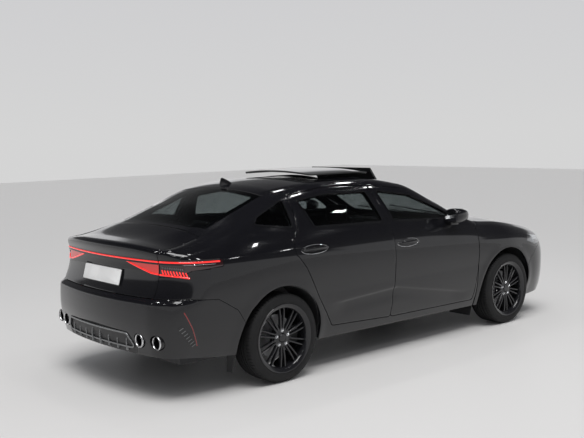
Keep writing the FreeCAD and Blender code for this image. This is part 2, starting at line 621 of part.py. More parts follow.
def edge_x(line, z):
    """x of a line of (x, z) points at height z."""
    for (x_low, z_low), (x_high, z_high) in zip(line, line[1:]):
        if z_low <= z <= z_high:
            return x_low + (x_high - x_low) * (z - z_low) / (z_high - z_low)
    return line[0][0] if z < line[0][1] else line[-1][0]


DOOR_ARM = [((-KNUCKLE_R, KNUCKLE_R), (-66, 0)), ((-KNUCKLE_R, 32), (-76, -50))]
HINGE_HEIGHTS = (565, 775)
RELIEF_HEIGHTS = (470, 600, 700, 800, 900, 980)
FRONT_EDGE = [FRONT_DOOR[1], FRONT_DOOR[0], FRONT_DOOR[-1], FRONT_DOOR[-2]]


def hang_door(leaf, edge_line, body_parts):
    """(leaf, body parts, axis point) with two hinges at the door's front edge."""
    axis_x = max(x for x, z in edge_line) - HALF_GAP - HINGE_BACK
    axis = Vector(axis_x, skin_y(axis_x, 600) - HINGE_IN, 0)
    rows = [(z, max(edge_x(edge_line, z) - HALF_GAP - axis_x, 1), skin_y(axis_x, z) - axis.y)
            for z in RELIEF_HEIGHTS]
    space = relief(axis, X_WAY, Y_WAY, rows)
    body_parts = [part.cut(space) for part in body_parts]
    for height in HINGE_HEIGHTS:
        distance = min(skin_y(axis_x, height - 32), skin_y(axis_x, height + 32)) - axis.y
        fixed, notch, knuckle = hinge(axis + Z_WAY * height, X_WAY, Y_WAY, distance, DOOR_ARM)
        leaf = leaf.cut(notch).fuse(knuckle)
        body_parts[0] = body_parts[0].fuse(fixed)
    return leaf, body_parts


front_leaf, (side_frame, fender) = hang_door(front_leaf, FRONT_EDGE, [side_frame, fender])
rear_leaf, (side_frame, front_leaf) = hang_door(rear_leaf, B_PILLAR_LINE, [side_frame, front_leaf])

# Door handles: a grip on two feet
HANDLES = {"front": ((-58, 182), 905), "rear": ((-1125, -880), 956)}
GRIP_HEIGHT = 22
GRIP_OUT = 30


def handle(place):
    """Handle of one door from its (x range, height), reaching into the door's skin."""
    (x_low, x_high), height = place
    skin_at = min(skin_y(x_low, height - GRIP_HEIGHT), skin_y(x_high, height - GRIP_HEIGHT))
    heights = (height - GRIP_HEIGHT / 2, height + GRIP_HEIGHT / 2)
    side_view = [(x_low, -18), (x_low + 12, GRIP_OUT), (x_high - 12, GRIP_OUT), (x_high, -18),
                 (x_high - 26, -18), (x_high - 34, GRIP_OUT - 13), (x_low + 34, GRIP_OUT - 13), (x_low + 26, -18)]
    return prism([(x, skin_at + y) for x, y in side_view], "z", *heights)


front_leaf = front_leaf.fuse(handle(HANDLES["front"]))
rear_leaf = rear_leaf.fuse(handle(HANDLES["rear"]))

# The hood's hinges stand on a shelf below the cowl, the lid's on the parcel shelf
HOOD_AXIS = Vector(1150 + HALF_GAP + HINGE_BACK, 0, 995)
HOOD_HINGE_Y = 560
LID_AXIS = Vector(LID_FRONT_X - HALF_GAP - HINGE_BACK, 0, 1113)
LID_HINGE_Y = 420
hood_space = relief(HOOD_AXIS, -X_WAY, Z_WAY, [(0, 20, 33), (HOOD_HINGE_Y, 20, 20), (hood_edge + 4, 20, 13)])
cowl_half = cowl_half.cut(hood_space)
fender = fender.cut(hood_space)
cowl_shelf = joined([box((1100, 1106), (-1, 640), (929, FAR_Z)).common(middle),
                     box((1100, 1190), (-1, 640), (929, 941))])
fixed, notch, knuckle = hinge(HOOD_AXIS + Y_WAY * HOOD_HINGE_Y, -X_WAY, Z_WAY, 20,
                              [((-KNUCKLE_R, KNUCKLE_R), (-60, 0))])
cowl_half = joined([cowl_half, cowl_shelf, fixed])
hood_half = hood_half.cut(notch).fuse(knuckle)
lid_space = relief(LID_AXIS, X_WAY, Z_WAY, [(-lid_edge - 4, 22, 19), (-LID_HINGE_Y, 22, 38), (0, 22, 50)])
side_frame = side_frame.cut(lid_space)
fixed, notch, knuckle = hinge(LID_AXIS + Y_WAY * LID_HINGE_Y, X_WAY, Z_WAY, 20,
                              [((-KNUCKLE_R, KNUCKLE_R), (LID_AXIS.z * -1 + SHELF_Z, 0)),
                               ((-KNUCKLE_R, -1760 - LID_AXIS.x), (SHELF_Z - LID_AXIS.z, SHELF_Z + SHEET - LID_AXIS.z))])
lid_half = lid_half.cut(notch).fuse(knuckle)
shelf_half = shelf_half.fuse(fixed)


def whole(half):
    """Left half and its mirror image as one solid."""
    return joined([half, mirrored(half)])


def pair(left):
    """Left piece and its mirror image, which don't touch."""
    return Part.makeCompound([left, mirrored(left)])


# Grille: frame and slats in the bumper's opening
GRILLE_SLATS = 6
SLAT_THICKNESS = 9
grille_low = GRILLE[0][1]
grille_high = GRILLE[-1][1]
slats = []
for index in range(GRILLE_SLATS):
    slat_z = grille_low + (grille_high - grille_low) * (index + 0.5) / GRILLE_SLATS
    slats.append(box((1900, FAR_X), (-1, FAR_Y), (slat_z - SLAT_THICKNESS / 2, slat_z + SLAT_THICKNESS / 2)))
grille_edge = grille_zone.cut(prism(mirrored_outline(GRILLE), "x", 1900, FAR_X, offset=-14))
grille_half = outer.common(joined([grille_edge] + slats).common(grille_zone)).cut(plan_block(panel_depth + 6))
grille_half = grille_half.cut(box((1900, FAR_X), (-600, 0), (0, FAR_Z)))

# Suspension and structure ahead of the firewall
FRONT_X = AXLES["front"]
REAR_X = AXLES["rear"]
WHEEL_Y = size("wheel_centre_y")
KINGPIN_Y = WHEEL_Y - size("kingpin_inset")
KINGPIN_R = size("kingpin_radius")
SPINDLE_R = size("hub_bore") - size("spindle_clearance")
RAIL_IN = 350
RAIL_OUT = 430
TOWER_Z = 860
ARM_Z = 190
front_structure_half = joined([
    box((HINGE_LINE_X, 2270), (RAIL_IN, RAIL_OUT), (420, 520)),
    box((2240, 2270), (-1, RAIL_OUT), (430, 530)),
    box((FRONT_X - 90, FRONT_X + 90), (RAIL_OUT - 12, RAIL_OUT), (500, TOWER_Z + 12)),
    box((FRONT_X - 90, FRONT_X + 90), (RAIL_OUT - 12, 745), (TOWER_Z, TOWER_Z + 12)),
    box((FRONT_X - 40, FRONT_X + 40), (RAIL_IN, RAIL_OUT), (ARM_Z, 430)),
    box((FRONT_X - 80, FRONT_X + 80), (-1, RAIL_OUT), (ARM_Z - 20, ARM_Z + 50)).cut(
        box((FRONT_X - 81, FRONT_X + 81), (-2, 60), (ARM_Z - 21, ARM_Z + 20))),
    box((FRONT_X - 26, FRONT_X + 26), (RAIL_OUT - 1, KINGPIN_Y), (ARM_Z, ARM_Z + 25)),
    bar((FRONT_X, KINGPIN_Y, ARM_Z), (FRONT_X, KINGPIN_Y, ARM_Z + 25), 30)])
lamp_carrier = joined([box((2030, 2100), (380, 700), (640, 760)), box((2030, 2070), (360, 430), (500, 660))])
lamp_carrier = cut_each(lamp_carrier.common(middle), [headlamp, box((1900, 2200), (300, 800), (703, 800))])
fender_bracket = box((FRONT_X - 30, FRONT_X + 30), (640, FAR_Y), (TOWER_Z, TOWER_Z + 12)).common(middle)
front_structure_half = joined([front_structure_half, lamp_carrier, fender_bracket])
front_structure_half = front_structure_half.cut([
    bar((FRONT_X, KINGPIN_Y, 0), (FRONT_X, KINGPIN_Y, 300), KINGPIN_R + 0.5),
    bar((FRONT_X, KINGPIN_Y, 800), (FRONT_X, KINGPIN_Y, 900), KINGPIN_R + 5)])
DISC_OUT = WHEEL_Y + size("disc_y")
DISC_IN = DISC_OUT - size("disc_thickness")
CALIPER_GAP = 6


def caliper(axle_x, way):
    """Brake caliper straddling the disc, ahead of (way 1) or behind (way -1) the axle."""
    body = box((axle_x + way * 96, axle_x + way * 190), (DISC_IN - 40, DISC_OUT + 38), (AXLE_Z - 62, AXLE_Z + 62))
    slot = bar((axle_x, DISC_IN - CALIPER_GAP, AXLE_Z), (axle_x, DISC_OUT + CALIPER_GAP, AXLE_Z),
               size("disc_radius") + CALIPER_GAP)
    return body.cut(slot)


knuckle_left = joined([
    bar((FRONT_X, KINGPIN_Y, ARM_Z - 8), (FRONT_X, KINGPIN_Y, 300), KINGPIN_R),
    box((FRONT_X - 34, FRONT_X + 34), (KINGPIN_Y - 22, KINGPIN_Y + 22), (ARM_Z + 32, 520)),
    bar((FRONT_X, KINGPIN_Y, AXLE_Z), (FRONT_X, WHEEL_Y + 66, AXLE_Z), SPINDLE_R),
    bar((FRONT_X, KINGPIN_Y, AXLE_Z), (FRONT_X, KINGPIN_Y + 60, AXLE_Z), 62),
    box((FRONT_X - 180, FRONT_X), (KINGPIN_Y + 30, KINGPIN_Y + 50), (AXLE_Z - 40, AXLE_Z + 40)),
    box((FRONT_X - 185, FRONT_X - 165), (KINGPIN_Y + 30, DISC_IN - 30), (AXLE_Z - 40, AXLE_Z + 40)),
    caliper(FRONT_X, -1),
    bar((FRONT_X, KINGPIN_Y, 500), (FRONT_X, KINGPIN_Y, TOWER_Z + 8), KINGPIN_R),
    bar((FRONT_X, KINGPIN_Y, 500), (FRONT_X, KINGPIN_Y, 700), 22),
    bar((FRONT_X, KINGPIN_Y, 690), (FRONT_X, KINGPIN_Y, TOWER_Z - 6), 58),
])
rear_structure_half = joined([
    box((REAR_X - 60, REAR_X + 60), (-1, 600), (AXLE_Z - 70, AXLE_Z + 30)),
    bar((REAR_X, 590, AXLE_Z), (REAR_X, WHEEL_Y + 66, AXLE_Z), SPINDLE_R),
    bar((REAR_X, 590, AXLE_Z), (REAR_X, DISC_IN - 14, AXLE_Z), 62),
    box((REAR_X, REAR_X + 180), (DISC_IN - 60, DISC_IN - 38), (AXLE_Z - 40, AXLE_Z + 40)),
    caliper(REAR_X, 1),
    bar((REAR_X, 520, AXLE_Z), (REAR_X, 520, BOOT_FLOOR_Z), 52),
    box((REAR_X, -820), (480, 560), (AXLE_Z - 60, AXLE_Z - 10)),
    box((-860, -800), (480, 560), (AXLE_Z - 60, BOOT_FLOOR_Z))])

# Exhaust: pipe, silencer and four tips
PIPE_Z = 208
PIPE_END_X = 1100
SILENCER_X = (-2110, -1790)
exhaust_half = [box(SILENCER_X, (-1, 690), (240, 376))]
for tip_y, tip_x in zip(TIPS_Y, TIP_ENDS_X):
    exhaust_half.append(bar((-2100, tip_y, 314), (-2200, tip_y, TIP_Z), 24))
    exhaust_half.append(bar((-2185, tip_y, TIP_Z), (tip_x, tip_y, TIP_Z), TIP_R).cut(
        bar((-2225, tip_y, TIP_Z), (tip_x - 1, tip_y, TIP_Z), TIP_R - 4)))
exhaust_half = joined(exhaust_half)
pipe = bar((-1800, 0, PIPE_Z + 60), (-1500, 0, PIPE_Z), 28).fuse(bar((-1500, 0, PIPE_Z), (PIPE_END_X, 0, PIPE_Z), 28))
exhaust = joined([whole(exhaust_half), pipe])

ENGINE = box((1180, 1700), (-320, 320), (300, 800))
engine_mounts = [box((1380, 1480), (319, RAIL_IN), (440, 500)), box((1380, 1480), (-RAIL_IN, -319), (440, 500))]
engine = joined([ENGINE] + engine_mounts + [bar((PIPE_END_X, 0, PIPE_Z), (1250, 0, PIPE_Z), 28),
                                            bar((1210, 0, PIPE_Z), (1210, 0, 310), 24)])

# Cabin
DASH = [(FIREWALL_X - 0.3, 560), (FIREWALL_X - 0.3, 972), (930, 978), (770, 930), (706, 872), (742, 650), (860, 560)]
COLUMN_TILT = math.radians(24)
WHEEL_HUB = Vector(505, size("seat_y"), 868)
COLUMN_WAY = Vector(math.cos(COLUMN_TILT), 0, -math.sin(COLUMN_TILT))
COLUMN_R = 20
dashboard = whole(prism(DASH, "y", 0, 748).common(inner))
dashboard = dashboard.cut(bar(tuple(WHEEL_HUB), tuple(WHEEL_HUB + COLUMN_WAY * 345), COLUMN_R + 1))
RIM_SECTION = 15
steering_rim_outline = []
for step in range(8):
    angle = math.radians(45 * step + 22.5)
    steering_rim_outline.append(Vector(size("steering_wheel_radius") - RIM_SECTION + RIM_SECTION * math.cos(angle), 0,
                                       RIM_SECTION * math.sin(angle)))
steering_rim = Part.Face(Part.makePolygon(steering_rim_outline + steering_rim_outline[:1])).revolve(
    Vector(0, 0, 0), Vector(0, 0, 1), 360)
across = Vector(0, 1, 0)
spoke_box = Part.makeBox(2 * size("steering_wheel_radius") - 34, 44, 18,
                         Vector(-size("steering_wheel_radius") + 17, -22, -9))
turn = FreeCAD.Rotation(across, COLUMN_WAY.cross(across) * -1, COLUMN_WAY, "XYZ")
spoke_box.Placement = FreeCAD.Placement(WHEEL_HUB, turn)
steering_rim.Placement = FreeCAD.Placement(WHEEL_HUB, turn)
steering_wheel = joined([steering_rim, spoke_box, Part.makeCylinder(58, 40, WHEEL_HUB - COLUMN_WAY * 12, COLUMN_WAY),
                         Part.makeCylinder(COLUMN_R, 340, WHEEL_HUB, COLUMN_WAY)])

SEAT_SIDE = [(560, 300), (560, 420), (520, 470), (60, 440), (-60, 640), (-210, 1010), (-235, 1240),
             (-330, 1232), (-318, 990), (-140, 440), (-60, 300)]
half_seat = size("seat_width") / 2
seat_y = size("seat_y")
front_seat = prism(SEAT_SIDE, "y", seat_y - half_seat, seat_y + half_seat, radius=22)
front_seat = front_seat.cut([box((-400, -150), (seat_y - 400, seat_y - 120), (1040, 1300)),
                             box((-400, -150), (seat_y + 120, seat_y + 400), (1040, 1300))])
front_seat = joined([front_seat, box((-20, 500), (seat_y - 200, seat_y + 200), (FLOOR_Z, 310))])
REAR_SEAT_SIDE = [(-560, 290), (-540, 430), (-600, 480), (-960, 440), (-1080, 700), (-1165, 1016),
                  (REAR_WALL_X + 0.3, 1020), (REAR_WALL_X + 0.3, BOOT_FLOOR_Z + SHEET + 0.3),
                  (HEEL_X + 0.3, BOOT_FLOOR_Z + SHEET + 0.3), (HEEL_X + 0.3, 290)]
rear_seat = prism(REAR_SEAT_SIDE, "y", -600, 600, radius=0)
head = prism([(-1130, 1005), (-1135, 1120), (-1210, 1130), (-1220, 1005)], "y", 200, 440, radius=0)
rear_seat = joined([rear_seat, head, mirrored(head)])

# Mirrors stand on the doors' shoulders
MIRROR_SIDE = [(545, 1040), (560, 1130), (650, 1150), (735, 1110), (748, 1050), (700, 1020)]
mirror = prism(MIRROR_SIDE, "y", 890, 1035, radius=24)
mirror = joined([mirror, prism([(610, 985), (600, 1045), (690, 1045), (720, 985)], "y", 700, 912, radius=8)])
mirror = mirror.cut(outer)
mirror = max(mirror.Solids, key=lambda solid: solid.Volume)
sunroof_lift = Vector(0, 0, size("roof_glass_lift"))
sunroof = whole(sunroof_half)
sunroof.translate(sunroof_lift)
roof = whole(roof_half)
lift_arms = [box((x - 14, x + 14), (y - 8, y + 8), (1385, 1530)) for x in (10, -520) for y in (394, -394)]
lift_arms = [arm.cut(sunroof).cut(roof).Solids for arm in lift_arms]
lift_arms = [min(pieces, key=lambda solid: solid.CenterOfMass.z) for pieces in lift_arms]
# Wind deflector at the front edge of the roof's opening
DEFLECTOR = [(236, 1385), (246, 1400), (158, 1512), (148, 1512), (160, 1480)]
deflector = max(prism(DEFLECTOR, "y", -372, 372).cut(roof).Solids, key=lambda solid: solid.Volume)

NODES = []


def add_feature(label, shape):
    """One sub-part of a given form as an object of the document."""
    feature = doc.addObject("Part::Feature", label)
    feature.Label = label
    feature.Shape = shape
    NODES.append(feature)
    return feature


def add_both(label, left):
    """Left and right sub-parts, mirror images of each other."""
    add_feature(label + "_left", left)
    add_feature(label + "_right", mirrored(left))


add_both("side_frame", side_frame)
add_both("front_door", front_leaf)
add_both("rear_door", rear_leaf)
add_both("front_door_glass", front_pane)
add_both("rear_door_glass", rear_pane)
add_both("mirror", mirror)
add_both("knuckle", knuckle_left)
add_feature("roof_panel", joined([roof] + lift_arms))
add_feature("sunroof_glass", sunroof)
add_feature("sunroof_deflector", deflector)
add_feature("fixed_glass", Part.makeCompound([whole(windscreen_pane), whole(rear_screen_pane), quarter_pane,
                                              mirrored(quarter_pane)]))
add_feature("front_fenders", pair(fender))
add_feature("front_bumper", whole(front_bumper_half))
add_feature("front_grille", whole(grille_half))
add_feature("headlamps", pair(headlamp))
add_feature("cowl", whole(cowl_half))
add_feature("hood", whole(hood_half))
add_feature("trunk_lid", whole(lid_half))
add_feature("lid_lamp_bar", whole(lamp_bar_half))
add_feature("tail_lamps", pair(tail_lamp))
add_feature("rear_bumper", whole(rear_bumper_half))
add_feature("rear_diffuser", whole(diffuser_half))
add_feature("exhaust_system", exhaust)
add_feature("floor_pan", whole(floor_half))
add_feature("firewall", whole(firewall_half))
add_feature("boot_floor", whole(boot_floor_half))
add_feature("parcel_shelf", whole(shelf_half))
add_feature("wheel_liners", Part.makeCompound([front_liner, mirrored(front_liner), rear_liner, mirrored(rear_liner)]))
add_feature("front_structure", whole(front_structure_half))
add_feature("rear_structure", whole(rear_structure_half))
add_feature("engine_block", engine)
add_feature("dashboard", dashboard)
add_feature("steering_wheel", steering_wheel)
add_feature("front_seats", pair(front_seat))
add_feature("rear_seat", rear_seat)


def origin_plane(body, role):
    """One of a body's own origin planes or axes."""
    return [item for item in body.Origin.OriginFeatures if item.Role == role][0]


def profile(body, name, role, points):
    """Sketch of a closed outline whose corners are bound to expressions of the sheet's sizes."""
    sketch = body.newObject("Sketcher::SketchObject", name)
    sketch.AttachmentSupport = (origin_plane(body, role), [""])
    sketch.MapMode = "FlatFace"
    values = []
    for across_rule, up_rule in points:
        values.append([value_of(across_rule), value_of(up_rule)])
    count = len(points)
    for index in range(count):
        start, end = values[index], values[(index + 1) % count]
        sketch.addGeometry(Part.LineSegment(Vector(start[0], start[1], 0), Vector(end[0], end[1], 0)), False)
    for index in range(count):
        sketch.addConstraint(Sketcher.Constraint("Coincident", index, 2, (index + 1) % count, 1))
    for index, rules in enumerate(points):
        for kind, rule, value in (("DistanceX", rules[0], values[index][0]), ("DistanceY", rules[1], values[index][1])):
            if abs(value) < 1e-9:
                axis = -2 if kind == "DistanceX" else -1
                sketch.addConstraint(Sketcher.Constraint("PointOnObject", index, 1, axis))
                continue
            if value > 0:
                made = sketch.addConstraint(Sketcher.Constraint(kind, -1, 1, index, 1, value))
                text = bound(rule)
            else:
                made = sketch.addConstraint(Sketcher.Constraint(kind, index, 1, -1, 1, -value))
                text = "-(%s)" % bound(rule)
            label = "%s_%d" % (kind, index)
            sketch.renameConstraint(made, label)
            sketch.setExpression("Constraints." + label, text)
    return sketch


def value_of(rule):
    """Number that a rule, a plain number or sum of sizes, stands for."""
    if isinstance(rule, (int, float)):
        return float(rule)
    total = 0.0
    for sign, term in terms(rule):
        factor, _, alias = term.rpartition("*")
        amount = size(alias) if alias[0].isalpha() else float(alias)
        total += sign * (float(factor) if factor else 1.0) * amount
    return total


def terms(rule):
    """(sign, term) pairs of a rule such as 'rim_width*0.5 - 4'."""
    found, sign = [], 1
    for word in rule.split():
        if word in "+-":
            sign = 1 if word == "+" else -1
        else:
            found.append((sign, word))
            sign = 1
    return found


def bound(rule):
    """The rule as an expression on the sheet."""
    if isinstance(rule, (int, float)):
        return str(rule)
    words = []
    for word in rule.split():
        factor, _, alias = word.rpartition("*")
        if alias[0].isalpha():
            word = (factor + "*" if factor else "") + "Sizes." + alias
        words.append(word)
    return " ".join(words)


def turned(body, name, points):
    """Revolution of an outline (along the axle, radius) about the body's Y axis."""
    sketch = profile(body, name, "YZ_Plane", points)
    revolution = body.newObject("PartDesign::Revolution", name + "Turned")
    revolution.Profile = sketch
    revolution.ReferenceAxis = (sketch, ["H_Axis"])
    revolution.Angle = 360
    sketch.Visibility = False
    return revolution


def place_wheel(body, axle, side):
    """Put a wheel body at its hub; its outer face looks away from the car."""
    body.setExpression("Placement.Base.x", "Sizes.%s_axle_x" % axle)
    body.setExpression("Placement.Base.y", ("" if side == "left" else "-") + "Sizes.wheel_centre_y")
    body.setExpression("Placement.Base.z", "Sizes.tyre_radius")
    if side == "right":
        body.Placement = FreeCAD.Placement(body.Placement.Base, FreeCAD.Rotation(Vector(0, 0, 1), 180))


TYRE_OUTLINE = [
    ("-0.5*rim_width", "rim_radius"), ("-0.5*tyre_width", "tyre_radius - 52"),
    ("-0.5*tyre_width + 10", "tyre_radius - 16"), ("-0.5*tyre_width + 28", "tyre_radius"),
    ("0.5*tyre_width - 28", "tyre_radius"), ("0.5*tyre_width - 10", "tyre_radius - 16"),
    ("0.5*tyre_width", "tyre_radius - 52"), ("0.5*rim_width", "rim_radius")]
BARREL_OUTLINE = [
    ("-0.5*rim_width", "rim_radius - rim_wall - 8"), ("-0.5*rim_width", "rim_radius - 0.3"),
    ("0.5*rim_width", "rim_radius - 0.3"), ("0.5*rim_width", "rim_radius - rim_wall"),
    ("0.5*rim_width - 30", "rim_radius - rim_wall - 8")]
HUB_OUTLINE = [
    ("rim_face_y - 58", "hub_bore"), ("rim_face_y - 58", "hub_radius - 6"), ("rim_face_y - 10", "hub_radius"),
    ("rim_face_y - 2", "hub_radius - 22"), ("rim_face_y - 2", "hub_bore")]
DISC_OUTLINE = [
    ("disc_y - disc_thickness", "hub_bore"), ("disc_y - disc_thickness", "disc_radius"),
    ("disc_y", "disc_radius"), ("disc_y", "hub_radius"), ("rim_face_y - 58.3", "hub_radius - 6"),
    ("rim_face_y - 58.3", "hub_bore")]


# One spoke of a pair, seen from outside the car: across, radius
SPOKE_OUTLINE = [
    ("spoke_spread - 0.5*spoke_width", "hub_radius - 12"), ("spoke_spread + 0.5*spoke_width", "hub_radius - 12"),
    ("2.2*spoke_spread + 0.4*spoke_width", "rim_radius - rim_wall - 3"),
    ("2.2*spoke_spread - 0.4*spoke_width", "rim_radius - rim_wall - 3")]


def add_rim(label):
    """Rim: barrel and hub, joined by pairs of spokes in a polar pattern."""
    body = doc.addObject("PartDesign::Body", label)
    body.AllowCompound = True
    turned(body, "Barrel", BARREL_OUTLINE)
    turned(body, "Hub", HUB_OUTLINE)
    spokes = []
    for name, sign in (("SpokeAhead", ""), ("SpokeBehind", "-")):
        outline = [(rule if not sign else negative(rule), radius) for rule, radius in SPOKE_OUTLINE]
        sketch = profile(body, name, "XZ_Plane", outline)
        sketch.setExpression("AttachmentOffset.Base.z", "-Sizes.rim_face_y")
        pad = body.newObject("PartDesign::Pad", name + "Pad")
        pad.Profile = sketch
        pad.setExpression("Length", "Sizes.spoke_depth")
        spokes.append(pad)
    doc.recompute()
    pattern = body.newObject("PartDesign::PolarPattern", "Spokes")
    pattern.Originals = spokes
    pattern.Axis = (origin_plane(body, "Y_Axis"), [""])
    pattern.Angle = 360
    pattern.setExpression("Occurrences", "Sizes.spoke_count")
    body.Tip = pattern
    return body


def negative(rule):
    """The rule with every sign turned."""
    words = []
    for sign, term in terms(rule):
        words += ["-" if sign > 0 else "+", term]
    return "0 " + " ".join(words)


for axle in ("front", "rear"):
    for side in ("left", "right"):
        tyre = doc.addObject("PartDesign::Body", "tyre_%s_%s" % (axle, side))
        turned(tyre, "Tread", TYRE_OUTLINE)
        disc = doc.addObject("PartDesign::Body", "brake_disc_%s_%s" % (axle, side))
        turned(disc, "Disc", DISC_OUTLINE)
        rim = add_rim("rim_%s_%s" % (axle, side))
        for body in (tyre, disc, rim):
            place_wheel(body, axle, side)
            NODES.append(body)
doc.recompute()

for item in doc.Objects:
    if "Invalid" in item.State or "Error" in item.State:
        raise RuntimeError("failed: %s %s" % (item.Name, item.State))
os.makedirs("parts", exist_ok=True)
for node in NODES:
    if node.Shape.isNull() or not node.Shape.isValid():
        raise RuntimeError("no valid shape: " + node.Label)
    node.Shape.exportStep("parts/%s.step" % node.Label)
print("%d sub-parts written" % len(NODES))
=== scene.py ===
"""Looks of a black four-door fastback sedan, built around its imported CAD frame.

The painted panels are dense skins over one smooth body form. The form repeats the section table of
the CAD part, and each panel is a patch of it, trimmed by the panel's own outline.
"""
import json
import logging
import math
from dataclasses import dataclass
from enum import Enum
from typing import Callable, Sequence

import bmesh
import bpy
import numpy as np
from mathutils import Matrix, Vector


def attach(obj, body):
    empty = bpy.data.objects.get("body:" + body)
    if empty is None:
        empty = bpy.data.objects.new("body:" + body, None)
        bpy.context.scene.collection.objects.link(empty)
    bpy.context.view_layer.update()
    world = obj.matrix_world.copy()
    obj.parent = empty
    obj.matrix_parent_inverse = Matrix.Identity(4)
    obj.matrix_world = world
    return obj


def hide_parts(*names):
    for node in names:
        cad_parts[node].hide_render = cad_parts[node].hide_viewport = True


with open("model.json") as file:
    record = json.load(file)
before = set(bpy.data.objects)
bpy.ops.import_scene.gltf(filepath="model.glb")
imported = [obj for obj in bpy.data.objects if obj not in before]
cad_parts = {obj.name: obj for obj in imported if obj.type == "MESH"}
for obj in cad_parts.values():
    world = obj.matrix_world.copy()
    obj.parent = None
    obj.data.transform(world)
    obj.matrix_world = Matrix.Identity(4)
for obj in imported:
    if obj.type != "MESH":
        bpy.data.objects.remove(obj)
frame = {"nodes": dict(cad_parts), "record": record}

log = logging.getLogger("sedan")

MM = 0.001

# Body sections, front to rear, in millimetres: station x, then y and z of bottom, middle, shoulder,
# belt and rail on the left side, then the crown's height on the centre line
SECTIONS = np.array([
    (2460, 700, 235, 790, 480, 690, 650, 560, 688, 480, 700, 715),
    (2150, 770, 215, 868, 520, 812, 690, 700, 818, 610, 846, 866),
    (1800, 800, 200, 905, 560, 870, 790, 762, 897, 680, 924, 946),
    (1465, 815, 205, 921, 600, 893, 825, 798, 952, 715, 976, 998),
    (1100, 822, 222, 915, 600, 893, 840, 818, 985, 732, 1014, 1036),
    (950, 825, 225, 912, 600, 893, 850, 826, 1012, 716, 1062, 1084),
    (650, 828, 228, 910, 600, 893, 866, 832, 1035, 676, 1212, 1240),
    (300, 830, 232, 910, 600, 893, 885, 836, 1055, 630, 1362, 1408),
    (-150, 830, 236, 910, 600, 895, 905, 836, 1072, 605, 1418, 1469),
    (-700, 830, 242, 912, 600, 897, 930, 830, 1085, 598, 1420, 1463),
    (-1100, 828, 246, 918, 610, 900, 945, 815, 1100, 590, 1382, 1430),
    (-1500, 822, 255, 921, 620, 896, 955, 782, 1120, 602, 1250, 1308),
    (-1850, 805, 275, 908, 620, 872, 960, 765, 1080, 640, 1130, 1168),
    (-2150, 780, 310, 880, 620, 835, 960, 742, 1048, 650, 1068, 1086),
    (-2460, 740, 330, 835, 620, 790, 960, 705, 1035, 640, 1058, 1078)], float) * MM

# Nose and tail in plan at several heights, in millimetres: height, then x of the nose's tip and
# shoulder and of the tail's tip and shoulder
PLAN_LEVELS = np.array([
    (100, 2250, 2040, -2270, -2090), (330, 2372, 2110, -2352, -2150), (560, 2390, 2130, -2390, -2185),
    (690, 2382, 2110, -2384, -2170), (720, 2370, 2095, -2345, -2140), (940, 2290, 2010, -2285, -2085),
    (1080, 2200, 1900, -2325, -2120), (1600, 2000, 1700, -2325, -2120)], float) * MM
CORNER_HALF_WIDTH = 830 * MM
FACE_HALF_WIDTH = 610 * MM
FACE_SWEEP = 62 * MM

AXLES_X = {"front": 1465 * MM, "rear": -1325 * MM}
WHEEL_Y = 790 * MM
TYRE_R = 330 * MM
ARCH_R = 392 * MM
GAP = 3 * MM
PANEL_DEPTH = 26 * MM
GRID = 13 * MM
COARSE = 22 * MM
BESIDE, BEHIND, ABOVE = 1.15, -2.6, 1.7
FINE_LOOKS = 60
TAIL_HUB = (-1.95, 0.52)
TAIL_STRETCH = 90
TIP_PLACES = ((-2.330, 0.528, 0.426), (-2.290, 0.684, 0.426))
TIP_HOLE_R = 52 * MM
PLATE_TILT = math.atan2(0.2631174, 0.9647638)
COAT_ROUGHNESS = 0.015

Points = np.ndarray
Field = Callable[[Points], np.ndarray]


# Smooth body form

def monotone(x: np.ndarray, y: np.ndarray, at: np.ndarray) -> np.ndarray:
    """Cubic curve through rows of values that never overshoots them.

    Args:
        x: Rising positions of the rows.
        y: Values, one row each.
        at: Positions to read.

    Returns:
        The values at those positions, one row each.
    """
    step = np.diff(x)[:, None]
    slope = np.diff(y, axis=0) / step
    tangent = np.zeros_like(y)
    left, right = slope[:-1], slope[1:]
    same = left * right > 0
    w1, w2 = 2 * step[1:] + step[:-1], step[1:] + 2 * step[:-1]
    blend = (w1 + w2) / (w1 / np.where(same, left, 1) + w2 / np.where(same, right, 1))
    tangent[1:-1] = np.where(same, blend, 0)
    tangent[0], tangent[-1] = slope[0], slope[-1]
    at = np.clip(at, x[0], x[-1])
    cell = np.clip(np.searchsorted(x, at) - 1, 0, len(x) - 2)
    h = step[cell]
    t = ((at - x[cell]) / h[:, 0])[:, None]
    return ((2 * t ** 3 - 3 * t ** 2 + 1) * y[cell] + (t ** 3 - 2 * t ** 2 + t) * h * tangent[cell]
            + (3 * t ** 2 - 2 * t ** 3) * y[cell + 1] + (t ** 3 - t ** 2) * h * tangent[cell + 1])


def soft_max(a: np.ndarray, b: np.ndarray, reach: float) -> np.ndarray:
    """Larger of two distances, rounded over reach where they meet."""
    share = np.clip(reach - np.abs(a - b), 0, None) / reach
    return np.maximum(a, b) + share ** 2 * reach / 4


def soft_step(value: np.ndarray, low: float, high: float) -> np.ndarray:
    """Smooth rise from 0 at low to 1 at high."""
    t = np.clip((value - low) / (high - low), 0, 1)
    return t * t * (3 - 2 * t)


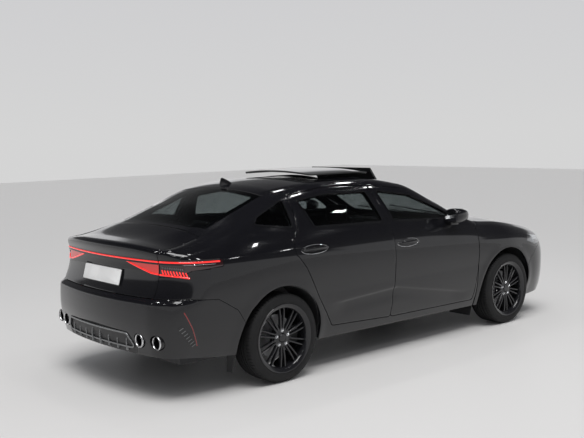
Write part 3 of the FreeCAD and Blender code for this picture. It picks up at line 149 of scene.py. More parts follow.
class BodyForm:
    """Signed distance field of the body's outer surface, negative inside, symmetric in y."""

    TABLE_STEP = 2 * MM
    SAGS = (9 * MM, 5 * MM, 5 * MM, 10 * MM)
    CORNERS = (90 * MM, 14 * MM, 26 * MM, 70 * MM)
    END_CORNER = 60 * MM
    LIP = 5 * MM

    def __init__(self) -> None:
        rows = SECTIONS[::-1]
        self.xs = np.arange(rows[0, 0], rows[-1, 0], self.TABLE_STEP)
        self.table = monotone(rows[:, 0], rows[:, 1:], self.xs)
        self.zs = np.arange(PLAN_LEVELS[0, 0], PLAN_LEVELS[-1, 0], self.TABLE_STEP)
        self.levels = monotone(PLAN_LEVELS[:, 0], PLAN_LEVELS[:, 1:], self.zs)

    def section(self, x: np.ndarray) -> list:
        """Corner points (y, z) of the sections at x, and the crown's height."""
        values = [np.interp(x, self.xs, column) for column in self.table.T]
        return [np.stack(values[2 * i:2 * i + 2], axis=-1) for i in range(5)] + [values[10]]

    def skin(self, p: Points) -> np.ndarray:
        """Distance from the form's sides and top."""
        x, y, z = p[:, 0], np.abs(p[:, 1]), p[:, 2]
        corners = self.section(x)
        at = np.stack([y, z], axis=-1)
        value = None
        for index in range(4):
            low, high = corners[index], corners[index + 1]
            side = high - low
            length = np.linalg.norm(side, axis=1)
            along = np.clip(((at - low) * side).sum(1) / length ** 2, 0, 1)
            away = ((at - low)[:, 0] * side[:, 1] - (at - low)[:, 1] * side[:, 0]) / length
            away = away - self.SAGS[index] * 4 * along * (1 - along)
            value = away if value is None else soft_max(value, away, self.CORNERS[index - 1])
        rail, crown = corners[4], corners[5]
        rise = np.maximum(crown - rail[:, 1], 1 * MM)
        radius = (rail[:, 0] ** 2 + rise ** 2) / (2 * rise)
        top = np.hypot(y, z - crown + radius) - radius
        return soft_max(value, top, self.CORNERS[3])

    def end(self, p: Points, tip: int, way: int) -> np.ndarray:
        """Distance from the nose (tip 0, way 1) or the tail (tip 2, way -1)."""
        x, y, z = p[:, 0], np.abs(p[:, 1]), p[:, 2]
        tip_x = way * np.interp(z, self.zs, self.levels[:, tip])
        shoulder = way * np.interp(z, self.zs, self.levels[:, tip + 1])
        face = FACE_SWEEP * (y / FACE_HALF_WIDTH) ** 2
        past = np.clip(y - FACE_HALF_WIDTH, 0, None) / (CORNER_HALF_WIDTH - FACE_HALF_WIDTH)
        at_corner = tip_x - shoulder - FACE_SWEEP * (CORNER_HALF_WIDTH / FACE_HALF_WIDTH) ** 2
        drop = face + at_corner * past ** 2
        slope = (2 * FACE_SWEEP * y / FACE_HALF_WIDTH ** 2
                 + 2 * at_corner * past / (CORNER_HALF_WIDTH - FACE_HALF_WIDTH))
        return (way * x - tip_x + drop) / np.sqrt(1 + slope ** 2)

    def arch_lip(self, p: Points) -> np.ndarray:
        """Extra height of the lips round the wheel arches."""
        lift = np.zeros(len(p))
        for axle_x in AXLES_X.values():
            reach = np.hypot(p[:, 0] - axle_x, p[:, 2] - TYRE_R) - ARCH_R
            lift += np.exp(-((reach - 10 * MM) / (38 * MM)) ** 2)
        return self.LIP * lift * (1 - soft_step(p[:, 2], 640 * MM, 800 * MM))

    def door_hollow(self, p: Points) -> np.ndarray:
        """Depth of the hollow pressed into the lower doors."""
        x, z = p[:, 0], p[:, 2]
        span = soft_step(x, -880 * MM, -640 * MM) * (1 - soft_step(x, 640 * MM, 960 * MM))
        top = np.interp(x, [-709 * MM, -67 * MM, 805 * MM], [505 * MM, 535 * MM, 380 * MM])
        band = soft_step(z, top - 130 * MM, top - 30 * MM) * (1 - soft_step(z, top - 4 * MM, top + 22 * MM))
        return 11 * MM * span * band

    def bottom(self, p: Points) -> np.ndarray:
        """Field of what lies above the lower edge of the sides."""
        return np.interp(p[:, 0], self.xs, self.table[:, 1]) - p[:, 2]

    def value(self, p: Points) -> np.ndarray:
        """Signed distance of points from the whole form."""
        side = self.skin(p) - self.arch_lip(p) + self.door_hollow(p)
        nose = soft_max(side, self.end(p, 0, 1), self.END_CORNER)
        return soft_max(nose, self.end(p, 2, -1), self.END_CORNER)

    def normal(self, p: Points) -> Points:
        """Outward directions of the form at points."""
        step = 2 * MM * np.eye(3)
        slope = np.stack([self.value(p + s) - self.value(p - s) for s in step], axis=1)
        return slope / np.linalg.norm(slope, axis=1)[:, None]

    def met(self, start: Points, way: Points, reach: float, depth: float = 0.0, steps: int = 30) -> Points:
        """Points where rays first come within depth of the surface's inner side.

        Args:
            start: Starts of the rays.
            way: Directions of the rays.
            reach: Length of the rays.
            depth: Depth below the surface, or height above it where negative.
            steps: Number of looks along each ray.
        """
        way = np.broadcast_to(np.asarray(way, float), start.shape)
        low = np.zeros(len(start))
        high = np.full(len(start), reach)
        found = np.zeros(len(start), bool)
        for step in range(1, steps + 1):
            waiting = np.flatnonzero(~found)
            if not len(waiting):
                break
            at = reach * step / steps
            hit = waiting[self.value(start[waiting] + way[waiting] * at) + depth < 0]
            high[hit], low[hit] = at, at - reach / steps
            found[hit] = True
        for _ in range(14):
            middle = (low + high) / 2
            inside = self.value(start + way * middle[:, None]) + depth < 0
            high = np.where(inside, middle, high)
            low = np.where(inside, low, middle)
        return start + way * ((low + high) / 2)[:, None]


FORM = BodyForm()

# Fans of rays that give a patch its grid

@dataclass(frozen=True)
class Fan:
    """A family of rays that meet the body from outside.

    Args:
        rays: Gives starts and directions of the rays for positions (u, v).
        reach: Length of the rays.
    """
    rays: Callable[[Points], tuple]
    reach: float

    def cast(self, uv: Points, depth: float) -> Points:
        """Points of the body form, or of a surface at a depth below it, that the rays meet."""
        start, way = self.rays(uv)
        return FORM.met(start, way, self.reach, depth)


def wrap_fan(height: float, spine_y: float, nose_x: float, tail_x: float, far: float) -> Fan:
    """Rays that walk from the nose's middle round the left side to the tail's middle.

    u runs along the walk and v is the elevation. The rays point at a spine inside the body.

    Args:
        height: Height of the spine.
        spine_y: Distance of the spine from the centre line.
        nose_x: Front end of the spine.
        tail_x: Rear end of the spine.
        far: Distance of the starts from the spine.
    """
    turn = math.pi / 2

    def rays(uv: Points) -> tuple:
        u, v = uv[:, 0], uv[:, 1]
        across = np.clip(u, 0, spine_y)
        first = np.clip(u - spine_y, 0, turn)
        along = np.clip(u - spine_y - turn, 0, nose_x - tail_x)
        second = np.clip(u - spine_y - turn - (nose_x - tail_x), 0, turn)
        back = np.clip(u - spine_y - 2 * turn - (nose_x - tail_x), 0, spine_y)
        heading = first + second
        spine = np.stack([nose_x - along, across - back, np.full(len(u), height)], axis=1)
        out = np.stack([np.cos(heading) * np.cos(v), np.sin(heading) * np.cos(v), np.sin(v)], axis=1)
        return spine + out * far, -out

    return Fan(rays, far)


def top_fan(high: float) -> Fan:
    """Rays straight down; u is x and v is y."""
    def rays(uv: Points) -> tuple:
        start = np.column_stack([uv, np.full(len(uv), high)])
        return start, np.broadcast_to(np.array([0.0, 0.0, -1.0]), start.shape)
    return Fan(rays, 1.1)


def roll_fan(x: float, z: float, far: float) -> Fan:
    """Rays towards a line across the car; u is the angle from straight up to the rear and v is y."""
    def rays(uv: Points) -> tuple:
        out = np.stack([-np.sin(uv[:, 0]), np.zeros(len(uv)), np.cos(uv[:, 0])], axis=1)
        line = np.stack([np.full(len(uv), x), uv[:, 1], np.full(len(uv), z)], axis=1)
        return line + out * far, -out
    return Fan(rays, far)


# Outlines as fields, negative inside

def rounded(points: Sequence[tuple], radius: float) -> np.ndarray:
    """Outline with each corner replaced by an arc of a radius that its sides leave room for."""
    corners = np.array(points, float)
    result = []
    for index, corner in enumerate(corners):
        before, after = corners[index - 1], corners[(index + 1) % len(corners)]
        a, b = before - corner, after - corner
        la, lb = np.linalg.norm(a), np.linalg.norm(b)
        a, b = a / la, b / lb
        half = math.acos(np.clip(a @ b, -1, 1)) / 2
        if half > 1.52 or radius == 0:
            result.append(corner)
            continue
        cut = min(radius / math.tan(half), 0.45 * la, 0.45 * lb)
        for t in np.linspace(0, 1, 7):
            result.append((1 - t) ** 2 * (corner + a * cut) + 2 * t * (1 - t) * corner
                          + t ** 2 * (corner + b * cut))
    return np.array(result)


def outline(points: Sequence[tuple], axes: str, radius: float = 0.0, offset: float = 0.0,
            mirrored: bool = False) -> Field:
    """Signed distance from an outline seen along one axis.

    Args:
        points: Corners in millimetres.
        axes: The two letters of the plane's axes, such as "xz".
        radius: Corner radius in metres.
        offset: How far the outline is moved outwards, in metres.
        mirrored: The outline is a left half that its mirror image completes.
    """
    if mirrored:
        points = list(points) + [(x, -y) for x, y in points[::-1] if y]
    corners = rounded(np.array(points, float) * MM, radius)
    picks = ["xyz".index(letter) for letter in axes]

    def field_value(p: Points) -> np.ndarray:
        at = p[:, picks]
        nearest = np.full(len(at), np.inf)
        inside = np.zeros(len(at), bool)
        for start, stop in zip(corners, np.roll(corners, -1, axis=0)):
            side = stop - start
            t = np.clip((at - start) @ side / (side @ side), 0, 1)
            nearest = np.minimum(nearest, np.linalg.norm(at - start - t[:, None] * side, axis=1))
            crosses = (start[1] > at[:, 1]) != (stop[1] > at[:, 1])
            rise = stop[1] - start[1]
            where = start[0] + (at[:, 1] - start[1]) * side[0] / (rise if rise else 1.0)
            inside ^= crosses & (at[:, 0] < where)
        return np.where(inside, -nearest, nearest) - offset

    return field_value


def outside(shape: Field, gap: float = 0.0) -> Field:
    """The field of everything that lies further than gap from a shape."""
    return lambda p: gap - shape(p)


def beyond(axis: str, limit: float, way: int = 1) -> Field:
    """Keeps what lies past a plane at limit, towards way."""
    pick = "xyz".index(axis)
    return lambda p: way * (limit - p[:, pick])


def arch(axle: str, radius: float) -> Field:
    """Keeps what lies outside a wheel's arch."""
    def field_value(p: Points) -> np.ndarray:
        flat = np.hypot(p[:, 0] - AXLES_X[axle], p[:, 2] - TYRE_R)
        below = np.abs(p[:, 0] - AXLES_X[axle])
        return radius - np.where(p[:, 2] < TYRE_R, below, flat)
    return field_value


# Patches of the body form

@dataclass
class FlatGrid:
    """A grid of positions (u, v) with faces, trimmed by fields."""
    uv: np.ndarray
    faces: list

    @classmethod
    def grid(cls, u_range: tuple, v_range: tuple, u_step: float, v_step: float) -> "FlatGrid":
        """Regular grid over two ranges."""
        us = np.linspace(*u_range, max(2, round((u_range[1] - u_range[0]) / u_step) + 1))
        vs = np.linspace(*v_range, max(2, round((v_range[1] - v_range[0]) / v_step) + 1))
        uv = np.array([(u, v) for u in us for v in vs])
        rows, columns = len(us), len(vs)
        faces = [(i * columns + j, (i + 1) * columns + j, (i + 1) * columns + j + 1, i * columns + j + 1)
                 for i in range(rows - 1) for j in range(columns - 1)]
        return cls(uv, faces)

    def trim(self, values: np.ndarray, snap: float = 0.4 * MM) -> tuple:
        """Keep what lies where the field is negative, with new corners on its zero line.

        Returns:
            The trimmed grid and, for each of its corners, the old corner's number or -1.
        """
        values = np.where(np.abs(values) < snap, 0.0, values)
        uv = list(self.uv)
        made: dict = {}
        faces = []
        for face in self.faces:
            signs = [values[i] for i in face]
            if max(signs) <= 0:
                faces.append(face)
                continue
            if min(signs) >= 0:
                continue
            kept = []
            for i, j in zip(face, face[1:] + face[:1]):
                if values[i] <= 0:
                    kept.append(i)
                if values[i] * values[j] < 0:
                    key = (min(i, j), max(i, j))
                    if key not in made:
                        t = values[key[0]] / (values[key[0]] - values[key[1]])
                        made[key] = len(uv)
                        uv.append(self.uv[key[0]] * (1 - t) + self.uv[key[1]] * t)
                    kept.append(made[key])
            if len(kept) > 2:
                faces.append(tuple(kept))
        used = sorted({i for face in faces for i in face})
        index = {old: new for new, old in enumerate(used)}
        origin = np.array([i if i < len(self.uv) else -1 for i in used], int)
        return FlatGrid(np.array([uv[i] for i in used]).reshape(-1, 2),
                     [tuple(index[i] for i in face) for face in faces]), origin


@dataclass
class Patch:
    """A trimmed piece of the body form with a real thickness.

    Args:
        fan: Rays that give the grid its places.
        u_range: First and last u.
        v_range: First and last v.
        u_step: Grid step in u.
        v_step: Grid step in v.
        fields: The patch keeps what all of them make negative.
        outer: Depth of its outer face below the form.
        inner: Depth of its inner face below the form.
    """
    fan: Fan
    u_range: tuple
    v_range: tuple
    u_step: float
    v_step: float
    fields: Sequence[Field]
    outer: float = 0.0
    inner: float = PANEL_DEPTH

    def build(self) -> tuple:
        """Corners and faces of the closed patch."""
        mesh = FlatGrid.grid(self.u_range, self.v_range, self.u_step, self.v_step)
        outer = self.fan.cast(mesh.uv, self.outer)
        for trim in self.fields:
            mesh, origin = mesh.trim(trim(outer))
            if not mesh.faces:
                raise RuntimeError("a patch was trimmed away")
            kept = outer[np.maximum(origin, 0)]
            made = origin < 0
            if made.any():
                kept[made] = self.fan.cast(mesh.uv[made], self.outer)
            outer = kept
        inner = self.fan.cast(mesh.uv, self.inner)
        count = len(outer)
        edges: dict = {}
        for face in mesh.faces:
            for i, j in zip(face, face[1:] + face[:1]):
                edges[(i, j)] = edges.get((i, j), 0) + 1
        rims = [(i, j) for i, j in edges if (j, i) not in edges]
        faces = list(mesh.faces)
        faces += [tuple(i + count for i in face[::-1]) for face in mesh.faces]
        faces += [(j, i, i + count, j + count) for i, j in rims]
        return np.concatenate([outer, inner]), faces


def mirrored_mesh(points: Points, faces: list) -> tuple:
    """The mirror image of a mesh on the other side of the car."""
    return points * np.array([1, -1, 1]), [face[::-1] for face in faces]


def joined_mesh(*meshes: tuple) -> tuple:
    """Several meshes as one."""
    points, faces, start = [], [], 0
    for mesh_points, mesh_faces in meshes:
        points.append(mesh_points)
        faces += [tuple(i + start for i in face) for face in mesh_faces]
        start += len(mesh_points)
    return np.concatenate(points), faces


def make_object(name: str, mesh: tuple, material: bpy.types.Material, bevel: float = 0.0,
                sharp: float = 40.0) -> bpy.types.Object:
    """An object with outward normals, optional rounded edges and smooth shading below an angle."""
    points, faces = mesh
    data = bpy.data.meshes.new(name)
    data.from_pydata(points.tolist(), [], faces)
    data.validate()
    obj = bpy.data.objects.new(name, data)
    bpy.context.scene.collection.objects.link(obj)
    grid = bmesh.new()
    grid.from_mesh(data)
    bmesh.ops.remove_doubles(grid, verts=grid.verts, dist=0.02 * MM)
    bmesh.ops.recalc_face_normals(grid, faces=grid.faces)
    grid.to_mesh(data)
    grid.free()
    if bevel:
        modifier = obj.modifiers.new("round", "BEVEL")
        modifier.width = bevel
        modifier.segments = 2
        modifier.limit_method = "ANGLE"
        modifier.angle_limit = math.radians(50)
        settle(obj)
    obj.data.shade_smooth()
    obj.data.set_sharp_from_angle(angle=math.radians(sharp))
    obj.data.materials.clear()
    obj.data.materials.append(material)
    return obj


def settle(obj: bpy.types.Object) -> None:
    """Replace an object's mesh by what its modifiers make of it, and remove them."""
    graph = bpy.context.evaluated_depsgraph_get()
    data = bpy.data.meshes.new_from_object(obj.evaluated_get(graph))
    obj.modifiers.clear()
    obj.data = data


# Simple solids, in metres unless a note says millimetres

def prism(points: Sequence[tuple], axis: str, low: float, high: float) -> tuple:
    """An outline pushed along an axis.

    Args:
        points: Corners in millimetres, as their two other coordinates.
        axis: Letter of the axis.
        low: Start along the axis, in millimetres.
        high: End along the axis, in millimetres.
    """
    across = [i for i, letter in enumerate("xyz") if letter != axis]
    flat = np.array(points, float) * MM
    count = len(flat)
    ends = np.zeros((2, count, 3))
    ends[:, :, across] = flat
    ends[0, :, "xyz".index(axis)], ends[1, :, "xyz".index(axis)] = low * MM, high * MM
    faces = [tuple(range(count))[::-1], tuple(range(count, 2 * count))]
    faces += [(i, (i + 1) % count, count + (i + 1) % count, count + i) for i in range(count)]
    return ends.reshape(-1, 3), faces


def block(x: tuple, y: tuple, z: tuple) -> tuple:
    """Box from its ranges in millimetres."""
    return prism([(x[0], y[0]), (x[1], y[0]), (x[1], y[1]), (x[0], y[1])], "z", *z)


def loft(rings: np.ndarray, closed: bool = False) -> tuple:
    """Skin over rings of equal count, capped unless the last ring leads back to the first."""
    rings = np.asarray(rings, float)
    rows, count = rings.shape[:2]
    faces = []
    for row in range(rows if closed else rows - 1):
        here, there = row * count, (row + 1) % rows * count
        faces += [(here + i, here + (i + 1) % count, there + (i + 1) % count, there + i)
                  for i in range(count)]
    if not closed:
        faces += [tuple(range(count))[::-1], tuple(range((rows - 1) * count, rows * count))]
    return rings.reshape(-1, 3), faces


def revolved(profile: Sequence[tuple], place: Sequence[float], way: Sequence[float] = (0, 1, 0),
             segments: int = 96) -> tuple:
    """A closed profile of (radius, height) in millimetres turned about a line through place."""
    way = Vector(way).normalized()
    side = way.orthogonal().normalized()
    up = way.cross(side)
    turn = np.linspace(0, 2 * math.pi, segments, endpoint=False)
    out = np.outer(np.cos(turn), side) + np.outer(np.sin(turn), up)
    flat = np.array(profile, float) * MM
    rings = (np.array(place) + flat[None, :, :1] * out[:, None] + flat[None, :, 1:] * np.array(way))
    return loft(rings, True)


def oval(width: float, height: float, count: int = 12, power: float = 2.0) -> np.ndarray:
    """Rounded section, squarer for a higher power."""
    turn = np.linspace(0, 2 * math.pi, count, endpoint=False)
    cos, sin = np.cos(turn), np.sin(turn)
    shape = 2 / power
    return np.stack([width / 2 * np.sign(cos) * np.abs(cos) ** shape,
                     height / 2 * np.sign(sin) * np.abs(sin) ** shape], axis=1)


def strip(width: float, height: float) -> np.ndarray:
    """Flat section whose lower half sinks under the path."""
    return np.array([(-width, -height), (width, -height), (width, height), (-width, height)]) / 2


def bar(path: Points, section: np.ndarray, up=(0.0, 0.0, 1.0), closed: bool = False) -> tuple:
    """A section carried along a path.

    Args:
        path: Points of the path.
        section: Corners of the section, across and up.
        up: Upward direction, one for all or one for each point.
        closed: The path leads back to its start.
    """
    path = np.asarray(path, float)
    up = np.broadcast_to(np.asarray(up, float), path.shape)
    if closed:
        ahead = np.roll(path, -1, axis=0) - np.roll(path, 1, axis=0)
    else:
        ahead = np.gradient(path, axis=0)
    across = np.cross(ahead, up)
    across /= np.linalg.norm(across, axis=1)[:, None]
    lift = np.cross(across, ahead)
    lift /= np.linalg.norm(lift, axis=1)[:, None]
    rings = (path[:, None] + across[:, None] * section[None, :, :1] + lift[:, None] * section[None, :, 1:])
    return loft(rings, closed)


def along(points: Sequence[tuple], step: float) -> np.ndarray:
    """Polyline with corners at equal steps, from points in millimetres."""
    points = np.array(points, float) * MM
    lengths = np.concatenate([[0], np.cumsum(np.linalg.norm(np.diff(points, axis=0), axis=1))])
    at = np.linspace(0, lengths[-1], max(2, round(lengths[-1] / step) + 1))
    return np.stack([np.interp(at, lengths, column) for column in points.T], axis=1)


def on_side(xz: np.ndarray, lift: float = 0.0) -> Points:
    """Points of the left side of the form at (x, z), raised by lift."""
    start = np.column_stack([xz[:, 0], np.full(len(xz), BESIDE), xz[:, 1]])
    return FORM.met(start, (0, -1, 0), 1.1, -lift, FINE_LOOKS)


def on_tail(yz: np.ndarray, lift: float = 0.0) -> Points:
    """Points of the tail at (y, z), raised by lift."""
    start = np.column_stack([np.full(len(yz), BEHIND), yz])
    return FORM.met(start, (1, 0, 0), 1.0, -lift, FINE_LOOKS)


def on_top(xy: np.ndarray, lift: float = 0.0) -> Points:
    """Points of the top at (x, y), raised by lift."""
    start = np.column_stack([xy, np.full(len(xy), ABOVE)])
    return FORM.met(start, (0, 0, -1), 1.3, -lift, FINE_LOOKS)


def round_tail(start_x: float, stop_y: float, height: Callable, lift: float = 0.0) -> Points:
    """Line on the form from the left side at start_x round to the tail at stop_y.

    Args:
        start_x: Station where it starts.
        stop_y: Distance from the centre line where it stops.
        height: Height of the line for arrays of x and y.
        lift: How far it stands off the form.
    """
    hub_x, hub_y = TAIL_HUB
    ones = np.ones(TAIL_STRETCH)
    x = np.concatenate([np.linspace(max(start_x, hub_x), hub_x, TAIL_STRETCH), hub_x * ones, hub_x * ones])
    y = np.concatenate([hub_y * ones, hub_y * ones, np.linspace(hub_y, min(stop_y, hub_y), TAIL_STRETCH)])
    turn = np.linspace(90, 180, TAIL_STRETCH + 2)[1:-1]
    heading = np.radians(np.concatenate([90 * ones, turn, 180 * ones]))
    out = np.column_stack([np.cos(heading), np.sin(heading), np.zeros(len(x))])
    z = np.full(len(x), 0.96)
    for _ in range(3):
        line = FORM.met(np.column_stack([x, y, z]) + out, -out, 1.0, -lift, 50)
        z = height(line[:, 0], line[:, 1])
    return line[(line[:, 0] <= start_x) & (line[:, 1] > stop_y - 0.01 * MM)]


def mirrored_pair(mesh: tuple) -> tuple:
    """A left piece together with its mirror image."""
    return joined_mesh(mesh, mirrored_mesh(*mesh))


def whole_mesh(mesh: tuple) -> tuple:
    """A left half that ends on the centre plane, welded to its mirror image."""
    points, faces = np.array(mesh[0]), mesh[1]
    middle = np.abs(points[:, 1]) < 0.05 * MM
    points[middle, 1] = 0
    return mirrored_pair((points, [face for face in faces if not middle[list(face)].all()]))


def turned(mesh: tuple, turn: Matrix, place: Sequence[float]) -> tuple:
    """A mesh turned about the origin and moved."""
    return np.asarray(mesh[0]) @ np.array(turn.to_3x3()).T + np.array(place), mesh[1]


# Repeated pieces

@dataclass
class Repeater:
    """Geometry Nodes tree that repeats an object's own mesh in a ring or a row.

    Args:
        count: Number of copies.
        turn: Angle from one copy to the next about the y axis, in radians.
        step: Way from one copy to the next.
        place: Place of the first copy's origin.
    """
    count: int
    turn: float = 0.0
    step: tuple = (0.0, 0.0, 0.0)
    place: tuple = (0.0, 0.0, 0.0)

    def tree(self) -> bpy.types.NodeTree:
        """The node tree, made once."""
        found = bpy.data.node_groups.get("repeat_piece")
        if found:
            return found
        tree = bpy.data.node_groups.new("repeat_piece", "GeometryNodeTree")
        for name, kind in (("Piece", "NodeSocketGeometry"), ("Count", "NodeSocketInt"),
                           ("Turn", "NodeSocketFloat"), ("Step", "NodeSocketVector"),
                           ("Place", "NodeSocketVector"), ("Material", "NodeSocketMaterial")):
            tree.interface.new_socket(name, in_out="INPUT", socket_type=kind)
        tree.interface.new_socket("Result", in_out="OUTPUT", socket_type="NodeSocketGeometry")
        made = {name: tree.nodes.new(kind) for name, kind in (
            ("given", "NodeGroupInput"), ("index", "GeometryNodeInputIndex"),
            ("points", "GeometryNodePoints"), ("angle", "ShaderNodeMath"),
            ("euler", "ShaderNodeCombineXYZ"), ("shift", "ShaderNodeVectorMath"),
            ("placed", "ShaderNodeVectorMath"), ("copies", "GeometryNodeInstanceOnPoints"),
            ("solid", "GeometryNodeRealizeInstances"), ("finish", "GeometryNodeSetMaterial"),
            ("result", "NodeGroupOutput"))}
        made["angle"].operation = "MULTIPLY"
        made["shift"].operation = "SCALE"
        for source, output, target, socket in (
                ("given", "Count", "points", "Count"), ("index", 0, "angle", 0),
                ("given", "Turn", "angle", 1), ("angle", 0, "euler", "Y"),
                ("given", "Step", "shift", 0), ("index", 0, "shift", "Scale"),
                ("shift", 0, "placed", 0), ("given", "Place", "placed", 1),
                ("placed", 0, "points", "Position"), ("points", 0, "copies", "Points"),
                ("given", "Piece", "copies", "Instance"), ("euler", 0, "copies", "Rotation"),
                ("copies", 0, "solid", 0), ("solid", 0, "finish", "Geometry"),
                ("given", "Material", "finish", "Material"), ("finish", 0, "result", 0)):
            tree.links.new(made[source].outputs[output], made[target].inputs[socket])
        return tree

    def apply(self, obj: bpy.types.Object) -> bpy.types.Object:
        """Repeat the object's mesh and keep the result as its mesh."""
        material = obj.data.materials[0]
        tree = self.tree()
        modifier = obj.modifiers.new("repeat", "NODES")
        modifier.node_group = tree
        values = {"Count": self.count, "Turn": self.turn, "Step": self.step, "Place": self.place,
                  "Material": material}
        for item in tree.interface.items_tree:
            if item.name in values:
                modifier[item.identifier] = values[item.name]
        settle(obj)
        return obj


# Shader graphs

class Wire:
    """A shader value that plain arithmetic works on.

    Args:
        tree: Node tree that holds it.
        socket: Output socket, or a number.
    """

    def __init__(self, tree: bpy.types.NodeTree, socket) -> None:
        self.tree = tree
        self.socket = socket

    def _math(self, operation: str, *others) -> "Wire":
        """Result of an operation on this value and others."""
        node = self.tree.nodes.new("ShaderNodeMath")
        node.operation = operation
        for index, value in enumerate((self, *others)):
            plug(self.tree, value, node.inputs[index])
        return Wire(self.tree, node.outputs[0])

    def __add__(self, other) -> "Wire":
        return self._math("ADD", other)

    def __mul__(self, other) -> "Wire":
        return self._math("MULTIPLY", other)

    def __rsub__(self, other) -> "Wire":
        return (self * -1) + other

    __radd__ = __add__
    __rmul__ = __mul__

    def ramp(self, low: float, high: float, start: float = 0.0, stop: float = 1.0) -> "Wire":
        """Value moved smoothly from the range low to high into start to stop."""
        node = self.tree.nodes.new("ShaderNodeMapRange")
        node.interpolation_type = "SMOOTHSTEP"
        plug(self.tree, self, node.inputs[0])
        for index, value in enumerate((low, high, start, stop), start=1):
            node.inputs[index].default_value = value
        return Wire(self.tree, node.outputs[0])


def plug(tree: bpy.types.NodeTree, value, target: bpy.types.NodeSocket) -> None:
    """Link a wire to a socket, or set the socket to a constant."""
    if isinstance(value, Wire):
        tree.links.new(value.socket, target)
    else:
        target.default_value = value


class Grain(Enum):
    """Kinds of fine surface structure, as scale and strength of the relief."""
    NONE = (1.0, 0.0)
    LEATHER = (420.0, 0.25)
    MOULDED = (900.0, 0.12)
    BRUSHED = (300.0, 0.08)
    CAST = (160.0, 0.3)


@dataclass(frozen=True)
class Finish:
    """A material's look.

    Args:
        name: Material name.
        colour: Base colour.
        metallic: Share of metal.
        roughness: Middle roughness.
        coat: Weight of a clear coat.
        shine: Strength of the mirror light under the coat.
        transmission: Share of light let through.
        spread: How much the roughness varies over the surface.
        grain: Fine structure of the surface.
        glow: Strength of emitted light.
        plain: One even colour without structure.
    """
    name: str
    colour: tuple
    metallic: float = 0.0
    roughness: float = 0.5
    coat: float = 0.0
    shine: float = 0.5
    transmission: float = 0.0
    spread: float = 0.04
    grain: Grain = Grain.NONE
    glow: float = 0.0
    plain: bool = False

    def build(self) -> bpy.types.Material:
        """The material, made once."""
        full_name = f"{self.name}_finish"
        found = bpy.data.materials.get(full_name)
        if found:
            return found
        material = bpy.data.materials.new(full_name)
        material.use_nodes = True
        tree = material.node_tree
        shader = tree.nodes["Principled BSDF"]
        for socket, value in (("Metallic", self.metallic), ("Coat Weight", self.coat),
                              ("Coat Roughness", COAT_ROUGHNESS), ("Specular IOR Level", self.shine),
                              ("Transmission Weight", self.transmission)):
            shader.inputs[socket].default_value = value
        if self.plain:
            shader.inputs["Roughness"].default_value = self.roughness
            shader.inputs["Base Color"].default_value = (*self.colour, 1)
            return material
        place = tree.nodes.new("ShaderNodeTexCoord")
        cloud = self._noise(tree, place, 6.0, 4.0)
        fine = self._noise(tree, place, 45.0, 3.0)
        share = 1 - (0.75 * cloud + 0.25 * fine)
        rough = share.ramp(0.3, 0.7, max(self.roughness - self.spread, 0.0), self.roughness + self.spread)
        plug(tree, rough, shader.inputs["Roughness"])
        mix = tree.nodes.new("ShaderNodeMix")
        mix.data_type = "RGBA"
        plug(tree, cloud.ramp(0.35, 0.65), mix.inputs["Factor"])
        mix.inputs["A"].default_value = (*[c * 0.94 for c in self.colour[:3]], 1)
        mix.inputs["B"].default_value = (*[min(c * 1.05, 1) for c in self.colour[:3]], 1)
        tree.links.new(mix.outputs["Result"], shader.inputs["Base Color"])
        if self.glow:
            shader.inputs["Emission Color"].default_value = (*self.colour[:3], 1)
            shader.inputs["Emission Strength"].default_value = self.glow
        self._bump(tree, place, shader)
        return material

    @staticmethod
    def _noise(tree: bpy.types.NodeTree, place: bpy.types.Node, scale: float, detail: float) -> Wire:
        """Noise over object coordinates."""
        node = tree.nodes.new("ShaderNodeTexNoise")
        node.inputs["Scale"].default_value = scale
        node.inputs["Detail"].default_value = detail
        tree.links.new(place.outputs["Object"], node.inputs["Vector"])
        return Wire(tree, node.outputs[0])

    def _bump(self, tree: bpy.types.NodeTree, place: bpy.types.Node, shader: bpy.types.Node) -> None:
        """Fine relief of the surface."""
        if self.grain is Grain.NONE:
            return
        scale, strength = self.grain.value
        bump = tree.nodes.new("ShaderNodeBump")
        bump.inputs["Strength"].default_value = strength
        bump.inputs["Distance"].default_value = 0.4 * MM
        plug(tree, self._noise(tree, place, scale, 2.0), bump.inputs["Height"])
        tree.links.new(bump.outputs["Normal"], shader.inputs["Normal"])


PAINT = Finish("body_paint", (0.006, 0.006, 0.0075), roughness=0.16, coat=1.0, shine=0.08, spread=0.01)
GLASS = Finish("window_glass", (0.46, 0.50, 0.50), roughness=0.015, transmission=1.0, spread=0.01)
DARK_GLASS = Finish("roof_glass", (0.02, 0.022, 0.024), roughness=0.03, coat=1.0, spread=0.01)
TRIM = Finish("black_trim", (0.018, 0.018, 0.019), roughness=0.48, grain=Grain.MOULDED)
SOFT_TRIM = Finish("soft_trim", (0.020, 0.020, 0.021), roughness=0.62, grain=Grain.LEATHER)
GLOSS_TRIM = Finish("gloss_trim", (0.008, 0.008, 0.009), roughness=0.10, coat=0.6, shine=0.2)
CLEAR = Finish("lamp_clear", (0.92, 0.94, 0.96), roughness=0.03, transmission=1.0, spread=0.01)
DAY_LAMP = Finish("day_lamp", (0.85, 0.87, 0.90), roughness=0.2, glow=0.3)
RED = Finish("lamp_red", (0.80, 0.020, 0.018), roughness=0.12, coat=1.0, glow=0.9)
LAMP_GLOW = Finish("lamp_glow", (0.50, 0.018, 0.015), roughness=0.12, coat=1.0, glow=0.45)
REFLECTOR = Finish("reflector_red", (0.20, 0.006, 0.006), roughness=0.15, coat=1.0)
LENS_DARK = Finish("lamp_lens_dark", (0.022, 0.006, 0.007), roughness=0.06, coat=1.0)
STEEL = Finish("bare_steel", (0.035, 0.035, 0.037), metallic=0.5, roughness=0.55, grain=Grain.CAST)
CAST = Finish("cast_metal", (0.42, 0.42, 0.43), metallic=0.8, roughness=0.5, grain=Grain.CAST)
